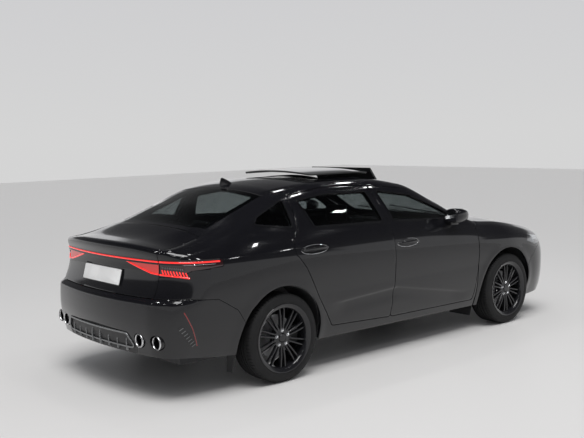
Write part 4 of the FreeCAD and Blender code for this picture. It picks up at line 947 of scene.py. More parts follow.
SEAT_LEATHER = Finish("seat_leather", (0.024, 0.023, 0.023), roughness=0.5, grain=Grain.LEATHER)
LINING_CLOTH = Finish("lining_cloth", (0.055, 0.054, 0.053), roughness=0.9, grain=Grain.MOULDED)
RUBBER = Finish("tyre_rubber", (0.011, 0.011, 0.0115), roughness=0.68, shine=0.3, grain=Grain.MOULDED)
RIM = Finish("rim_black", (0.012, 0.012, 0.014), metallic=0.1, roughness=0.20, coat=0.7, shine=0.2)
IRON = Finish("disc_iron", (0.30, 0.30, 0.31), metallic=0.95, roughness=0.35, grain=Grain.BRUSHED)
CHROME = Finish("chrome", (0.78, 0.79, 0.81), metallic=1.0, roughness=0.07)
BRIGHT = Finish("bright_metal", (0.72, 0.72, 0.73), metallic=0.9, roughness=0.34)
SATIN = Finish("satin_grey", (0.22, 0.225, 0.23), metallic=0.9, roughness=0.30)
WHITE = Finish("blank_plate", (0.80, 0.80, 0.79), roughness=0.4)
FLOOR = Finish("floor_finish", (0.62, 0.61, 0.60), roughness=0.45, plain=True)
SLOT_FINISHES = {finish.name: finish for finish in (
    PAINT, GLASS, TRIM, CLEAR, RED, STEEL, CAST, SEAT_LEATHER, RUBBER, RIM, IRON)}


def dress(obj: bpy.types.Object, finish: Finish, body: str) -> None:
    """Let a finished piece ride its body, and give it its finish's material if it has none."""
    if not obj.data.materials:
        obj.data.materials.append(finish.build())
    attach(obj, body)
    log.info("%s: %d faces", obj.name, len(obj.data.polygons))


def add_piece(name: str, mesh: tuple, finish: Finish, body: str, node: str | None = None, bevel: float = 0.0,
              sharp: float = 40.0) -> bpy.types.Object:
    """One finished piece.

    Args:
        name: Piece name.
        mesh: Its points and faces.
        finish: Its look.
        body: The body it moves with.
        node: The CAD node it stands for, if any.
        bevel: Width of its rounded edges.
        sharp: Angle above which its edges stay sharp.
    """
    obj = make_object(name, mesh, finish.build(), bevel, sharp)
    dress(obj, finish, body)
    if node:
        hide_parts(node)
    return obj


def add_sides(name: str, mesh: tuple, finish: Finish, body: str, node: str | None = None,
              **options: float) -> None:
    """A left piece and its mirror image; SIDE in the names stands for left or right."""
    for side, own in (("left", mesh), ("right", mirrored_mesh(*mesh))):
        own_name, own_body, own_node = (text and text.replace("SIDE", side) for text in (name, body, node))
        add_piece(own_name, own, finish, own_body, own_node, **options)


def add_pair(name: str, mesh: tuple, finish: Finish, body: str = "root", node: str | None = None,
             **options: float) -> None:
    """A left piece and its mirror image as one piece."""
    add_piece(name, mirrored_pair(mesh), finish, body, node, **options)


# Panel outlines in millimetres, as in the CAD part

B_LINE = [(-135, 303), (-105, 604), (-107, 1075), (-170, 1388)]
FRONT_DOOR = [(1018, 620), (980, 286), *B_LINE, (300, 1332), (650, 1184), (902, 1060), (1000, 985),
              (1018, 920)]
REAR_DOOR_BACK = [(-806, 337), (-956, 567), (-1099, 827), (-1199, 948), (-1180, 1040), (-1092, 1105),
                  (-1048, 1352)]
REAR_DOOR = B_LINE[::-1] + REAR_DOOR_BACK + [(-700, 1392)]
FRONT_WINDOW = [(-50, 1092), (-106, 1340), (285, 1286), (600, 1150), (800, 1046)]
REAR_WINDOW = [(-170, 1094), (-925, 1112), (-985, 1312), (-700, 1346), (-228, 1342)]
QUARTER_WINDOW = [(-1128, 1122), (-1470, 1166), (-1400, 1216), (-1108, 1330)]
WINDSCREEN = [(1092, 0), (1080, 500), (985, 668), (650, 622), (330, 575), (330, 0)]
ROOF = [(324, 0), (324, 573), (-150, 560), (-834, 545), (-1225, 540), (-1225, 0)]
REAR_SCREEN = [(-1231, 0), (-1231, 534), (-1500, 540), (-1770, 560), (-1815, 420), (-1828, 0)]
SUNROOF = [(238, 0), (238, 387), (-590, 387), (-590, 0)]
SUNROOF_PANE = [(70, 0), (70, 430), (-620, 430), (-620, 0)]
LINING = [(250, 0), (250, 500), (-150, 490), (-770, 475), (-830, 470), (-830, 0)]
HOOD = [(2262, 0), (2215, 330), (2120, 590), (1990, 655), (1700, 713), (1165, 735), (1150, 0)]
LID_TOP = [(-1872, 0), (-1872, 640), (-2600, 640), (-2600, 0)]
LID_LOW = 722
FRONT_SEAM = [(1790, 470), (1880, 585), (1985, 668), (2120, 700), (2600, 712)]
REAR_SEAM = [(-1660, 470), (-1740, 600), (-1905, 700), (-2130, 722), (-2600, 716)]
HEADLAMP = [(1800, 752), (1880, 806), (2090, 772), (2420, 742), (2420, 700), (2120, 703), (1985, 700)]
TAIL_LAMP = [(-1850, 928), (-1850, 972), (-2600, 990), (-2600, 856), (-2160, 872), (-2080, 912)]
GRILLE = [(0, 330), (400, 330), (470, 420), (440, 560), (0, 590)]
DIFFUSER = [(0, 310), (465, 310), (492, 360), (410, 474), (0, 492)]
SOFT_CORNER = 28 * MM
PANE_CORNER = 20 * MM
BELT_Z = 1.03


def hood_zone(offset: float) -> Field:
    """The hood's outline, moved outwards."""
    return outline(HOOD, "xy", SOFT_CORNER, offset, mirrored=True)


def below_seam(seam: Sequence[tuple], arch_x: float, offset: float) -> Field:
    """Everything below a bumper's seam line."""
    end = seam[-1][0]
    return outline(seam + [(end, 0), (arch_x, 0), (arch_x, seam[0][1])], "xz", 0.0, offset)


def within(*shapes: Field) -> Field:
    """The common part of several fields."""
    return lambda p: np.max([shape(p) for shape in shapes], axis=0)


LID_ZONE = within(outline(LID_TOP, "xy", SOFT_CORNER, GAP, mirrored=True), beyond("z", LID_LOW * MM))
LID_OWN = [outline(LID_TOP, "xy", SOFT_CORNER, -GAP, mirrored=True), beyond("z", LID_LOW * MM + GAP)]
HEADER = within(beyond("x", -1.79, -1), lambda p: np.abs(p[:, 1]) - 450 * MM, beyond("z", 1.10))
NOSE_ZONE = within(beyond("x", 1980 * MM), lambda p: np.abs(p[:, 1]) - 417 * MM, beyond("z", 690 * MM),
                   beyond("z", 830 * MM, -1))

SIDE = wrap_fan(0.80, 0.30, 1.9, -1.8, 1.1)
LOW = wrap_fan(0.45, 0.30, 1.9, -1.9, 1.1)
TOP = top_fan(1.7)
TAIL = roll_fan(-1.95, 0.80, 0.9)
SIDE_U = 0.30 + math.pi / 2
SIDE_END = SIDE_U + 3.7 + math.pi / 2
LOW_END = SIDE_U + 3.8 + math.pi / 2 + 0.30


def side_u(x: float) -> float:
    """Walk position of a station along the side fan."""
    return SIDE_U + 1.9 - x


def walk_patch(fan: Fan, first: float, last: float, low: float, high: float, fields: Sequence[Field],
               outer: float = 0.0, inner: float = PANEL_DEPTH, grid: float = GRID) -> tuple:
    """A patch between two positions of the walk round the car and two elevations in degrees."""
    return Patch(fan, (first, last), (math.radians(low), math.radians(high)), grid, grid / 0.75, fields,
                 outer, inner).build()


def side_patch(front: float, rear: float, low: float, high: float, fields: Sequence[Field],
               outer: float = 0.0, inner: float = PANEL_DEPTH, grid: float = GRID) -> tuple:
    """A patch of the left side between two stations and two elevations in degrees."""
    return walk_patch(SIDE, side_u(front), side_u(rear), low, high, fields, outer, inner, grid)


@dataclass
class Panels:
    """Painted skins of the body and the linings behind them.

    Args:
        finish: Finish of the skins.
        edge: Width of the skins' rounded edges.
        card_depth: Depth of the doors' inner faces below the skin.
    """
    finish: Finish = PAINT
    edge: float = 1.4 * MM
    card_depth: float = 104 * MM

    def add(self, name: str, mesh: tuple, body: str, node: str) -> None:
        """One painted skin that stands for a CAD node."""
        add_piece(name, mesh, self.finish, body, node, self.edge)

    def doors(self) -> None:
        """Four doors: painted skin, inner card and window frame."""
        for place, shape, window, front, rear in (
                ("front", FRONT_DOOR, FRONT_WINDOW, 1.05, -0.20),
                ("rear", REAR_DOOR, REAR_WINDOW, -0.07, -1.24)):
            hole = outside(outline(window, "xz", PANE_CORNER))
            skin = side_patch(front, rear, -52, 68, [outline(shape, "xz", SOFT_CORNER, -GAP), hole])
            inset = outline(shape, "xz", SOFT_CORNER, -GAP - 26 * MM)
            card = side_patch(front, rear, -52, 25, [inset, beyond("z", BELT_Z, -1)], PANEL_DEPTH,
                              self.card_depth, COARSE)
            inner_frame = side_patch(front, rear, 0, 68, [inset, hole, beyond("z", BELT_Z)],
                                     PANEL_DEPTH - 4 * MM, 44 * MM, COARSE)
            body = f"{place}_door_SIDE_body"
            add_sides(f"{place}_door_skin_SIDE", skin, self.finish, body, f"{place}_door_SIDE",
                      bevel=self.edge)
            add_sides(f"{place}_door_card_SIDE", joined_mesh(card, inner_frame), SOFT_TRIM, body)

    def side_frames(self) -> None:
        """Sill, pillars, roof rail and rear quarter of both sides, with the linings of the cabin."""
        doors = [outside(outline(shape, "xz", SOFT_CORNER, GAP)) for shape in (FRONT_DOOR, REAR_DOOR)]
        screens = [outside(within(outline(shape, "xy", 0, GAP), beyond("z", floor))) for shape, floor in (
            (ROOF, 1.2), (WINDSCREEN, 0.9), (REAR_SCREEN, 0.9))]
        fields = doors + screens + [
            outside(LID_ZONE), outside(below_seam(REAR_SEAM, -1600, GAP)), arch("rear", ARCH_R), FORM.bottom,
            outside(HEADER), outside(outline(QUARTER_WINDOW, "xz", PANE_CORNER, 1 * MM)),
            outside(within(outline(TAIL_LAMP, "xz", 0, 1 * MM), beyond("x", -1.7, -1), beyond("y", 0.60))),
            lambda p: np.maximum(p[:, 0] - np.interp(p[:, 2], [0.95, 0.985], [1.015, 1.095]), -p[:, 1])]
        mesh = walk_patch(SIDE, side_u(1.12), SIDE_END + 0.1, -52, 72, fields)
        inner_doors = [outside(outline(shape, "xz", SOFT_CORNER, reach * MM)) for shape, reach in (
            (FRONT_DOOR, -16), (REAR_DOOR, 15))]
        lining = side_patch(1.0, -1.75, -52, 66, inner_doors + screens + [
            arch("rear", 0.44), FORM.bottom, outside(outline(QUARTER_WINDOW, "xz", PANE_CORNER, 2 * MM)),
            beyond("x", 1.0, -1), beyond("x", -1.76)], 30 * MM, 46 * MM, COARSE)
        add_sides("side_skin_SIDE", mesh, self.finish, "root", "side_frame_SIDE", bevel=self.edge)
        sill = Patch(TOP, (-1.90, -1.78), (-0.50, 0.50), GRID, GRID, [
            outside(outline(REAR_SCREEN, "xy", 0, GAP, mirrored=True)), HEADER,
            outside(outline(LID_TOP, "xy", 0, GAP + 5 * MM, mirrored=True))], 0.0, 4 * MM).build()
        add_piece("screen_sill", sill, self.finish, "root")
        add_sides("side_lining_SIDE", lining, LINING_CLOTH, "root")

    def front(self) -> None:
        """Fenders, hood and front bumper."""
        hood_hole = outside(within(hood_zone(GAP), beyond("z", 0.72)))
        lamp = outside(within(outline(HEADLAMP, "xz", 0, 1 * MM), beyond("y", 0.42)))
        fender = walk_patch(SIDE, 0.75, side_u(1.0), -50, 60, [
            lambda p: np.interp(p[:, 2], [0.946, 0.978], [1.024, 1.104]) - p[:, 0],
            outside(below_seam(FRONT_SEAM, 1700, GAP)), hood_hole, lamp, outside(NOSE_ZONE), FORM.bottom,
            arch("front", ARCH_R)])
        self.add("fender_skins", mirrored_pair(fender), "root", "front_fenders")
        hood = Patch(TOP, (1.13, 2.32), (-0.75, 0.75), GRID, GRID, [hood_zone(-GAP)]).build()
        self.add("hood_skin", hood, "hood_body", "hood")
        seam = below_seam(FRONT_SEAM, 1700, 0)
        bumper = walk_patch(LOW, 0.0, side_u(1.68), -60, 60, [
            lambda p: np.minimum(seam(p), NOSE_ZONE(p)), hood_hole, lamp, arch("front", ARCH_R), FORM.bottom,
            outside(within(outline(GRILLE, "yz"), beyond("x", 1.9)))])
        self.add("front_bumper_skin", whole_mesh(bumper), "root", "front_bumper")

    def rear(self) -> None:
        """Trunk lid with its plate recess, and rear bumper with the holes of the exhaust tips."""
        recess = within(outline([(0, 774), (266, 774), (266, 898), (0, 898)], "yz"), beyond("x", -2.2, -1))
        lid = Patch(TAIL, (math.radians(-32), math.radians(104)), (0.0, 0.66), 0.026, GRID,
                    LID_OWN + [outside(recess)]).build()
        self.add("lid_skin", whole_mesh(lid), "lid_body", "trunk_lid")
        tips = [outside(within(lambda p, y=y, z=z: np.hypot(p[:, 1] - y, p[:, 2] - z) - TIP_HOLE_R,
                               beyond("x", -2.1, -1))) for _, y, z in TIP_PLACES]
        bumper = walk_patch(LOW, side_u(-1.55), LOW_END, -45, 45, [
            below_seam(REAR_SEAM, -1600, 0), outside(LID_ZONE), arch("rear", ARCH_R), FORM.bottom, *tips,
            outside(within(outline(DIFFUSER, "yz"), beyond("x", -2.1, -1)))])
        self.add("rear_bumper_skin", whole_mesh(bumper), "root", "rear_bumper")

    def roof(self) -> None:
        """Roof skin round the sunroof opening."""
        mesh = Patch(TOP, (-1.24, 0.34), (-0.58, 0.58), GRID, GRID, [
            outline(ROOF, "xy", mirrored=True),
            outside(outline(SUNROOF, "xy", 14 * MM, mirrored=True))], 0.0, 20 * MM).build()
        self.add("roof_skin", mesh, "root", "roof_panel")

    def build(self) -> None:
        """All painted skins."""
        for make in (self.doors, self.side_frames, self.front, self.rear, self.roof):
            make()


@dataclass
class Glazing:
    """Window panes and the dark bands behind the edges of the screens.

    Args:
        finish: Finish of the panes.
        outer: Depth of a pane's outer face below the form.
        inner: Depth of its inner face.
        band: Width of the dark bands.
    """
    finish: Finish = GLASS
    outer: float = 3 * MM
    inner: float = 8 * MM
    band: float = 46 * MM

    def build(self) -> None:
        """Door panes, screens and quarter panes."""
        for place, window, front, rear in (("front", FRONT_WINDOW, 0.85, -0.2),
                                           ("rear", REAR_WINDOW, -0.1, -1.1)):
            pane = side_patch(front, rear, 10, 62, [outline(window, "xz", PANE_CORNER, -1 * MM)], self.outer,
                              self.inner)
            add_sides(f"{place}_pane_SIDE", pane, self.finish, f"{place}_door_SIDE_body",
                      f"{place}_door_glass_SIDE")
        quarter = side_patch(-1.05, -1.55, 10, 62, [outline(QUARTER_WINDOW, "xz", PANE_CORNER, -1 * MM)],
                             self.outer, self.inner)
        panes, bands = [mirrored_pair(quarter)], []
        for shape, front, rear in ((WINDSCREEN, 1.11, 0.31), (REAR_SCREEN, -1.21, -1.85)):
            edge = outline(shape, "xy", mirrored=True)
            clear = outside(outline(shape, "xy", 60 * MM, -self.band, mirrored=True))
            area = ((rear, front), (-0.70, 0.70), COARSE, COARSE)
            panes.append(Patch(TOP, *area, [edge], self.outer, self.inner).build())
            bands.append(Patch(TOP, *area, [edge, clear], self.inner + 0.5 * MM, self.inner + 3 * MM).build())
        add_piece("fixed_panes", joined_mesh(*panes), self.finish, "root", "fixed_glass")
        add_piece("screen_bands", joined_mesh(*bands), GLOSS_TRIM, "root")


@dataclass
class Wheels:
    """Tyres, rims, discs and bolts of the four wheels.

    Args:
        spokes: Pairs of spokes on a rim.
        bolts: Wheel bolts.
        blocks: Shoulder blocks round a tyre, each side.
    """
    spokes: int = 10
    bolts: int = 5
    blocks: int = 78

    TYRE = ((236, -98), (240, -106), (254, -109), (262, -112), (284, -112.4), (304, -108), (316, -100),
            (323, -88), (323, -62), (329.5, -61), (329.6, -34), (322, -33), (322, -25), (329.8, -24),
            (330, -5), (323, -4))
    BARREL = ((235.5, -102), (236, 102), (246, 106), (255, 111), (257.5, 112.8), (256, 114.5), (248, 113),
              (232, 105), (226, 101), (221, 92), (217, 66), (211, 20), (210, -60), (219, -92), (228, -102))
    HUB = ((30, 28), (64, 28), (76, 46), (78, 66), (73, 77), (60, 80), (36, 81), (32, 78), (30, 70))
    CAP = ((0, 70), (31, 70), (31, 82), (28, 85.5), (0, 87.5))
    DISC = ((78, -34), (160, -34), (160, -24), (150, -23), (150, -19), (160, -18), (160, -8), (80, -8),
            (78, 24), (70, 24))

    def build(self) -> None:
        """All four wheels."""
        for axle, x in AXLES_X.items():
            for side, way in (("left", 1), ("right", -1)):
                self.wheel(f"{axle}_{side}", (x, way * WHEEL_Y, TYRE_R), way)

    def wheel(self, name: str, centre: tuple, way: int) -> None:
        """One wheel; way is 1 on the left and -1 on the right."""
        body = f"wheel_{name}"
        tyre = self.TYRE + tuple((r, -y) for r, y in self.TYRE[::-1])
        add_piece(f"tyre_{name}_case", revolved(tyre, centre, segments=144), RUBBER, body, f"tyre_{name}",
                  sharp=30)
        self.ring(f"tyre_{name}_blocks", self.shoulder_block(), RUBBER, body, centre, way, self.blocks)
        rim = joined_mesh(*(revolved(p, centre, (0, way, 0)) for p in (self.BARREL, self.HUB)))
        add_piece(f"rim_{name}_barrel", rim, RIM, body, f"rim_{name}", sharp=30)
        self.ring(f"rim_{name}_spokes", self.spoke_pair(), RIM, body, centre, way, self.spokes, 1.2 * MM)
        self.ring(f"rim_{name}_bolts", self.bolt(), CHROME, body, centre, way, self.bolts)
        add_piece(f"rim_{name}_cap", revolved(self.CAP, centre, (0, way, 0), 48), RIM, body)
        add_piece(f"disc_{name}_face", revolved(self.DISC, centre, (0, way, 0)), IRON, body,
                  f"brake_disc_{name}", sharp=30)

    def ring(self, name: str, mesh: tuple, finish: Finish, body: str, centre: tuple, way: int, count: int,
             bevel: float = 0.0) -> None:
        """A piece repeated round a wheel's axle."""
        own = mesh if way > 0 else mirrored_mesh(*mesh)
        obj = make_object(name, own, finish.build(), bevel)
        Repeater(count, 2 * math.pi / count, place=centre).apply(obj)
        dress(obj, finish, body)

    def shoulder_block(self) -> tuple:
        """Two tread blocks at the top, one on each shoulder, in wheel coordinates."""
        side = [(84, 321), (100, 316), (97, 323), (88, 328), (66, 329.5), (66, 321)]
        near = prism(side, "x", -10.6, 10.6)
        return joined_mesh(near, mirrored_mesh(*near))

    def spoke_pair(self) -> tuple:
        """Two slim spokes that part towards the rim, in wheel coordinates."""
        reach = np.linspace(62, 228, 13)
        share = (reach - 62) / 166
        pair = []
        for way in (-1, 1):
            across = way * (10 + 12 * share)
            width = 17 - 3 * share
            face = 81 + 5 * np.sin(math.pi * share) + 3 * share
            back = 56 + 8 * share
            rings = []
            for r, a, w, f, b in zip(reach, across, width, face, back):
                rings.append([(a - w * 0.3, f, r), (a + w * 0.3, f, r), (a + w / 2, f - 5, r),
                              (a + w * 0.42, b, r), (a - w * 0.42, b, r), (a - w / 2, f - 5, r)])
            pair.append(loft(np.array(rings) * MM))
        return joined_mesh(*pair)

    def bolt(self) -> tuple:
        """One wheel bolt at the top, in wheel coordinates."""
        head = revolved(((0, 78), (9.5, 78), (9.5, 86), (7, 89), (0, 89)), (0, 0, 56 * MM), segments=6)
        seat = revolved(((9, 78), (13, 78), (13, 81.5), (11, 82.5), (9, 81)), (0, 0, 56 * MM), segments=24)
        return joined_mesh(head, seat)


def branch_height(x: np.ndarray, y: np.ndarray) -> np.ndarray:
    """Height of the lower lamp line: steep on the lid, then nearly level round the corner."""
    return np.interp(np.abs(y), [0.30, 0.35, 0.435, 0.566, 0.635, 0.71, 0.775, 0.81, 0.83],
                     [0.957, 0.942, 0.920, 0.889, 0.884, 0.878, 0.872, 0.866, 0.859])


def bar_height(x: np.ndarray, y: np.ndarray) -> np.ndarray:
    """Height of the lamp line across the tail."""
    return np.interp(x, [-2.29, -2.15, -1.87], [0.972, 0.969, 0.961])


@dataclass
class TailFace:
    """Lamps, plate, diffuser and exhaust tips of the rear.

    Args:
        lid_gap: Distance of the lid's side gap from the centre line.
        plate_place: Middle of the plate's seat.
        plate_size: Width and height of the plate in millimetres.
        strips: Slanted strips in each tail lamp.
    """
    lid_gap: float = 0.640
    plate_place: tuple = (-2.300822, 0.0, 0.832579)
    plate_size: tuple = (520, 112)
    strips: int = 9

    def build(self) -> None:
        """Every piece of the tail."""
        for make in (self.lamp_lines, self.lamp_body, self.plate, self.diffuser, self.tips,
                     self.corner_marks):
            make()

    def split(self, line: Points, section: np.ndarray) -> tuple:
        """Two meshes along a line round the tail: outside the lid's gap on both sides, and on the lid."""
        outer = line[(line[:, 1] > self.lid_gap + GAP) | (line[:, 0] > -2.0)]
        on_lid = line[(line[:, 1] < self.lid_gap - GAP) & (line[:, 0] < -2.0)]
        lid = bar(on_lid, section)
        if on_lid[-1, 1] < 1 * MM:
            lid = bar(np.concatenate([on_lid, on_lid[-2::-1] * (1, -1, 1)]), section)
            return mirrored_pair(bar(outer, section)), lid
        return mirrored_pair(bar(outer, section)), mirrored_pair(lid)

    def lamp_lines(self) -> None:
        """Thin lamp across the tail with its lower branches."""
        upper = round_tail(-1.874, 0.0, bar_height, 2 * MM)
        lower = round_tail(-2.092, 0.31, branch_height, 2 * MM)
        root_band, lid_band = self.split(upper, strip(4 * MM, 38 * MM))
        root_line, lid_line = self.split(upper, oval(12 * MM, 13 * MM))
        root_low, lid_low = self.split(lower, oval(10 * MM, 11 * MM))
        add_piece("lamp_band_corners", root_band, GLOSS_TRIM, "root")
        add_piece("lamp_band_lid", lid_band, GLOSS_TRIM, "lid_body")
        add_piece("lamp_line_corners", joined_mesh(root_line, root_low), RED, "root")
        add_piece("lamp_line_lid", joined_mesh(lid_line, lid_low), RED, "lid_body", "lid_lamp_bar")
        add_pair("lamp_wedges", self.wedge(), LAMP_GLOW, "lid_body")
        pale = round_tail(-1.91, 0.0, lambda x, y: bar_height(x, y) - 15 * MM, 2 * MM)
        pale = pale[pale[:, 0] > -2.13]
        add_pair("lamp_pale_lines", bar(pale, oval(4 * MM, 3.5 * MM, 8)), CHROME)

    def wedge(self) -> tuple:
        """Lit face on the lid between the lamp line and its left branch."""
        def level(share: float, lift: float) -> Points:
            """Line at a share of the way from the branch up to the lamp line."""
            return round_tail(-1.9, 0.31, lambda x, y: branch_height(x, y) + share * (
                bar_height(x, y) - branch_height(x, y)), lift)[-170:]

        middle = level(0.0, 0.0)
        lit = (middle[:, 1] < self.lid_gap - GAP) & (middle[:, 1] > 0.34) & (middle[:, 0] < -2.18)
        shares = np.linspace(0, 1, 5)
        rings = np.stack([level(s, 1 * MM) for s in shares] + [level(s, -1.5 * MM) for s in shares[::-1]],
                         axis=1)
        return loft(rings[lit])

    def lamp_body(self) -> None:
        """Dark lenses of the tail lamps with their slanted strips and pale teeth."""
        lens = walk_patch(SIDE, side_u(-1.7), SIDE_END, 0, 30, [
            outline(TAIL_LAMP, "xz"), beyond("y", self.lid_gap + GAP)])
        add_pair("tail_lamp_lenses", lens, LENS_DARK, node="tail_lamps")
        line = round_tail(-2.10, 0.655, branch_height, 2 * MM)
        length = np.concatenate([[0], np.cumsum(np.linalg.norm(np.diff(line, axis=0), axis=1))])
        red = [self.stroke(line, length, at - 0.014, at, 6 * MM, 36 * MM, 8 * MM)
               for at in np.linspace(0.022, length[-1] - 0.003, self.strips)]
        pale = [self.stroke(line, length, at - 0.004, at, 46 * MM, 58 * MM, 5 * MM)
                for at in np.linspace(0.045, length[-1] - 0.006, 12)]
        add_pair("tail_lamp_strips", joined_mesh(*red), RED)
        add_pair("tail_lamp_teeth", joined_mesh(*pale), SATIN)

    @staticmethod
    def stroke(line: Points, length: np.ndarray, foot: float, head: float, low: float, high: float,
               width: float) -> tuple:
        """One slanted mark above a line.

        Args:
            line: Points of the line.
            length: Walked length at each point.
            foot: Walked length at the mark's foot.
            head: Walked length at its head.
            low: Height of the foot above the line.
            high: Height of the head above the line.
            width: Width of the mark.
        """
        start, stop = (np.array([np.interp(v, length, column) for column in line.T]) for v in (foot, head))
        stop[2] = start[2] + high
        start[2] += low
        path = np.linspace(start, stop, 4)
        out = FORM.normal(path)
        near = path - out * FORM.value(path)[:, None] + out * 2 * MM
        return bar(near, strip(width, 4 * MM), out)

    def plate(self) -> None:
        """Blank plate on its seat, in a shallow dark tray."""
        turn = Matrix.Rotation(PLATE_TILT, 4, "Y")
        width, height = self.plate_size
        outer = rounded([(-width / 2, -height / 2), (width / 2, -height / 2), (width / 2, height / 2),
                         (-width / 2, height / 2)], 10)
        plate = prism(outer, "x", -3.2, -0.2)
        tray = joined_mesh(prism([(-264, -60), (264, -60), (264, 60), (-264, 60)], "x", 0.2, 3),
                           prism([(-292, -78), (292, -78), (292, 78), (-292, 78)], "x", 29, 33))
        corners = along([(0, -263, -60), (0, 263, -60), (0, 263, 60), (0, -263, 60), (0, -263, -60)],
                        20 * MM)[:-1]
        wall = bar(corners + np.array([6 * MM, 0, 0]), strip(3 * MM, 14 * MM), (1, 0, 0), True)
        add_piece("plate_blank", turned(plate, turn, self.plate_place), WHITE, "lid_body", bevel=0.6 * MM)
        add_piece("plate_tray", turned(joined_mesh(tray, wall), turn, self.plate_place), GLOSS_TRIM,
                  "lid_body")

    def diffuser(self) -> None:
        """Satin frame and fins of the diffuser."""
        edge = rounded([(-482, 366), (482, 366), (405, 466), (-405, 466)], 34)
        ring = on_tail(along([*edge, edge[0]], 14 * MM)[:-1], 3 * MM)
        frame_mesh = bar(ring, strip(13 * MM, 10 * MM), FORM.normal(ring), True)
        add_piece("diffuser_frame", frame_mesh, SATIN, "root", bevel=2 * MM)
        side = [(-2374, 336), (-2300, 326), (-2300, 452), (-2372, 452), (-2377, 400)]
        for name, way in (("left", 1), ("right", -1)):
            obj = make_object(f"diffuser_fins_{name}", prism(side, "y", -5, 5), SATIN.build(), 1 * MM)
            Repeater(4, step=(0.009, way * 0.108, 0.0), place=(0.004, way * 0.056, 0.0)).apply(obj)
            dress(obj, SATIN, "root")

    def tips(self) -> None:
        """Bright exhaust tips with dark insides."""
        rolled = ((42, -6), (48.6, -6), (49, 0), (47.5, 4), (45, 5.5), (42.5, 4))
        sleeve = ((0, -92), (48.4, -92), (48.4, -6.2), (42.4, -6.2), (41, -80), (0, -80))
        rings = [revolved(rolled, place, (-1, 0, 0), 64) for place in TIP_PLACES]
        cores = [revolved(sleeve, place, (-1, 0, 0), 48) for place in TIP_PLACES]
        add_pair("exhaust_tips", joined_mesh(*rings), BRIGHT, sharp=60)
        add_pair("exhaust_sleeves", joined_mesh(*cores), GLOSS_TRIM)

    def corner_marks(self) -> None:
        """Reflector lines and slatted vents at the bumper's corners, and the high stop lamp."""
        line = on_side(along([(-2160, 638), (-2105, 520), (-2058, 394)], 12 * MM), 1 * MM)
        add_pair("corner_reflectors", bar(line, strip(7 * MM, 4 * MM), FORM.normal(line)), REFLECTOR)
        vent = on_side(along([(-2186, 536), (-2078, 392)], 12 * MM), 1 * MM)
        add_pair("corner_vents", bar(vent, strip(38 * MM, 3 * MM), FORM.normal(vent)), TRIM)
        slats = []
        for row in range(7):
            x, z = -2180 + 15.5 * row, 525 - 20.5 * row
            slat = on_side(along([(x - 12, z - 9), (x + 12, z + 9)], 6 * MM), 3 * MM)
            slats.append(bar(slat, strip(4 * MM, 5 * MM), FORM.normal(slat)))
        add_pair("corner_vent_slats", joined_mesh(*slats), SATIN)
        stop = on_top(along([(-1252, -140), (-1252, 140)], 20 * MM), -14 * MM)
        add_piece("high_stop_lamp", bar(stop, strip(16 * MM, 8 * MM)), LENS_DARK, "root")


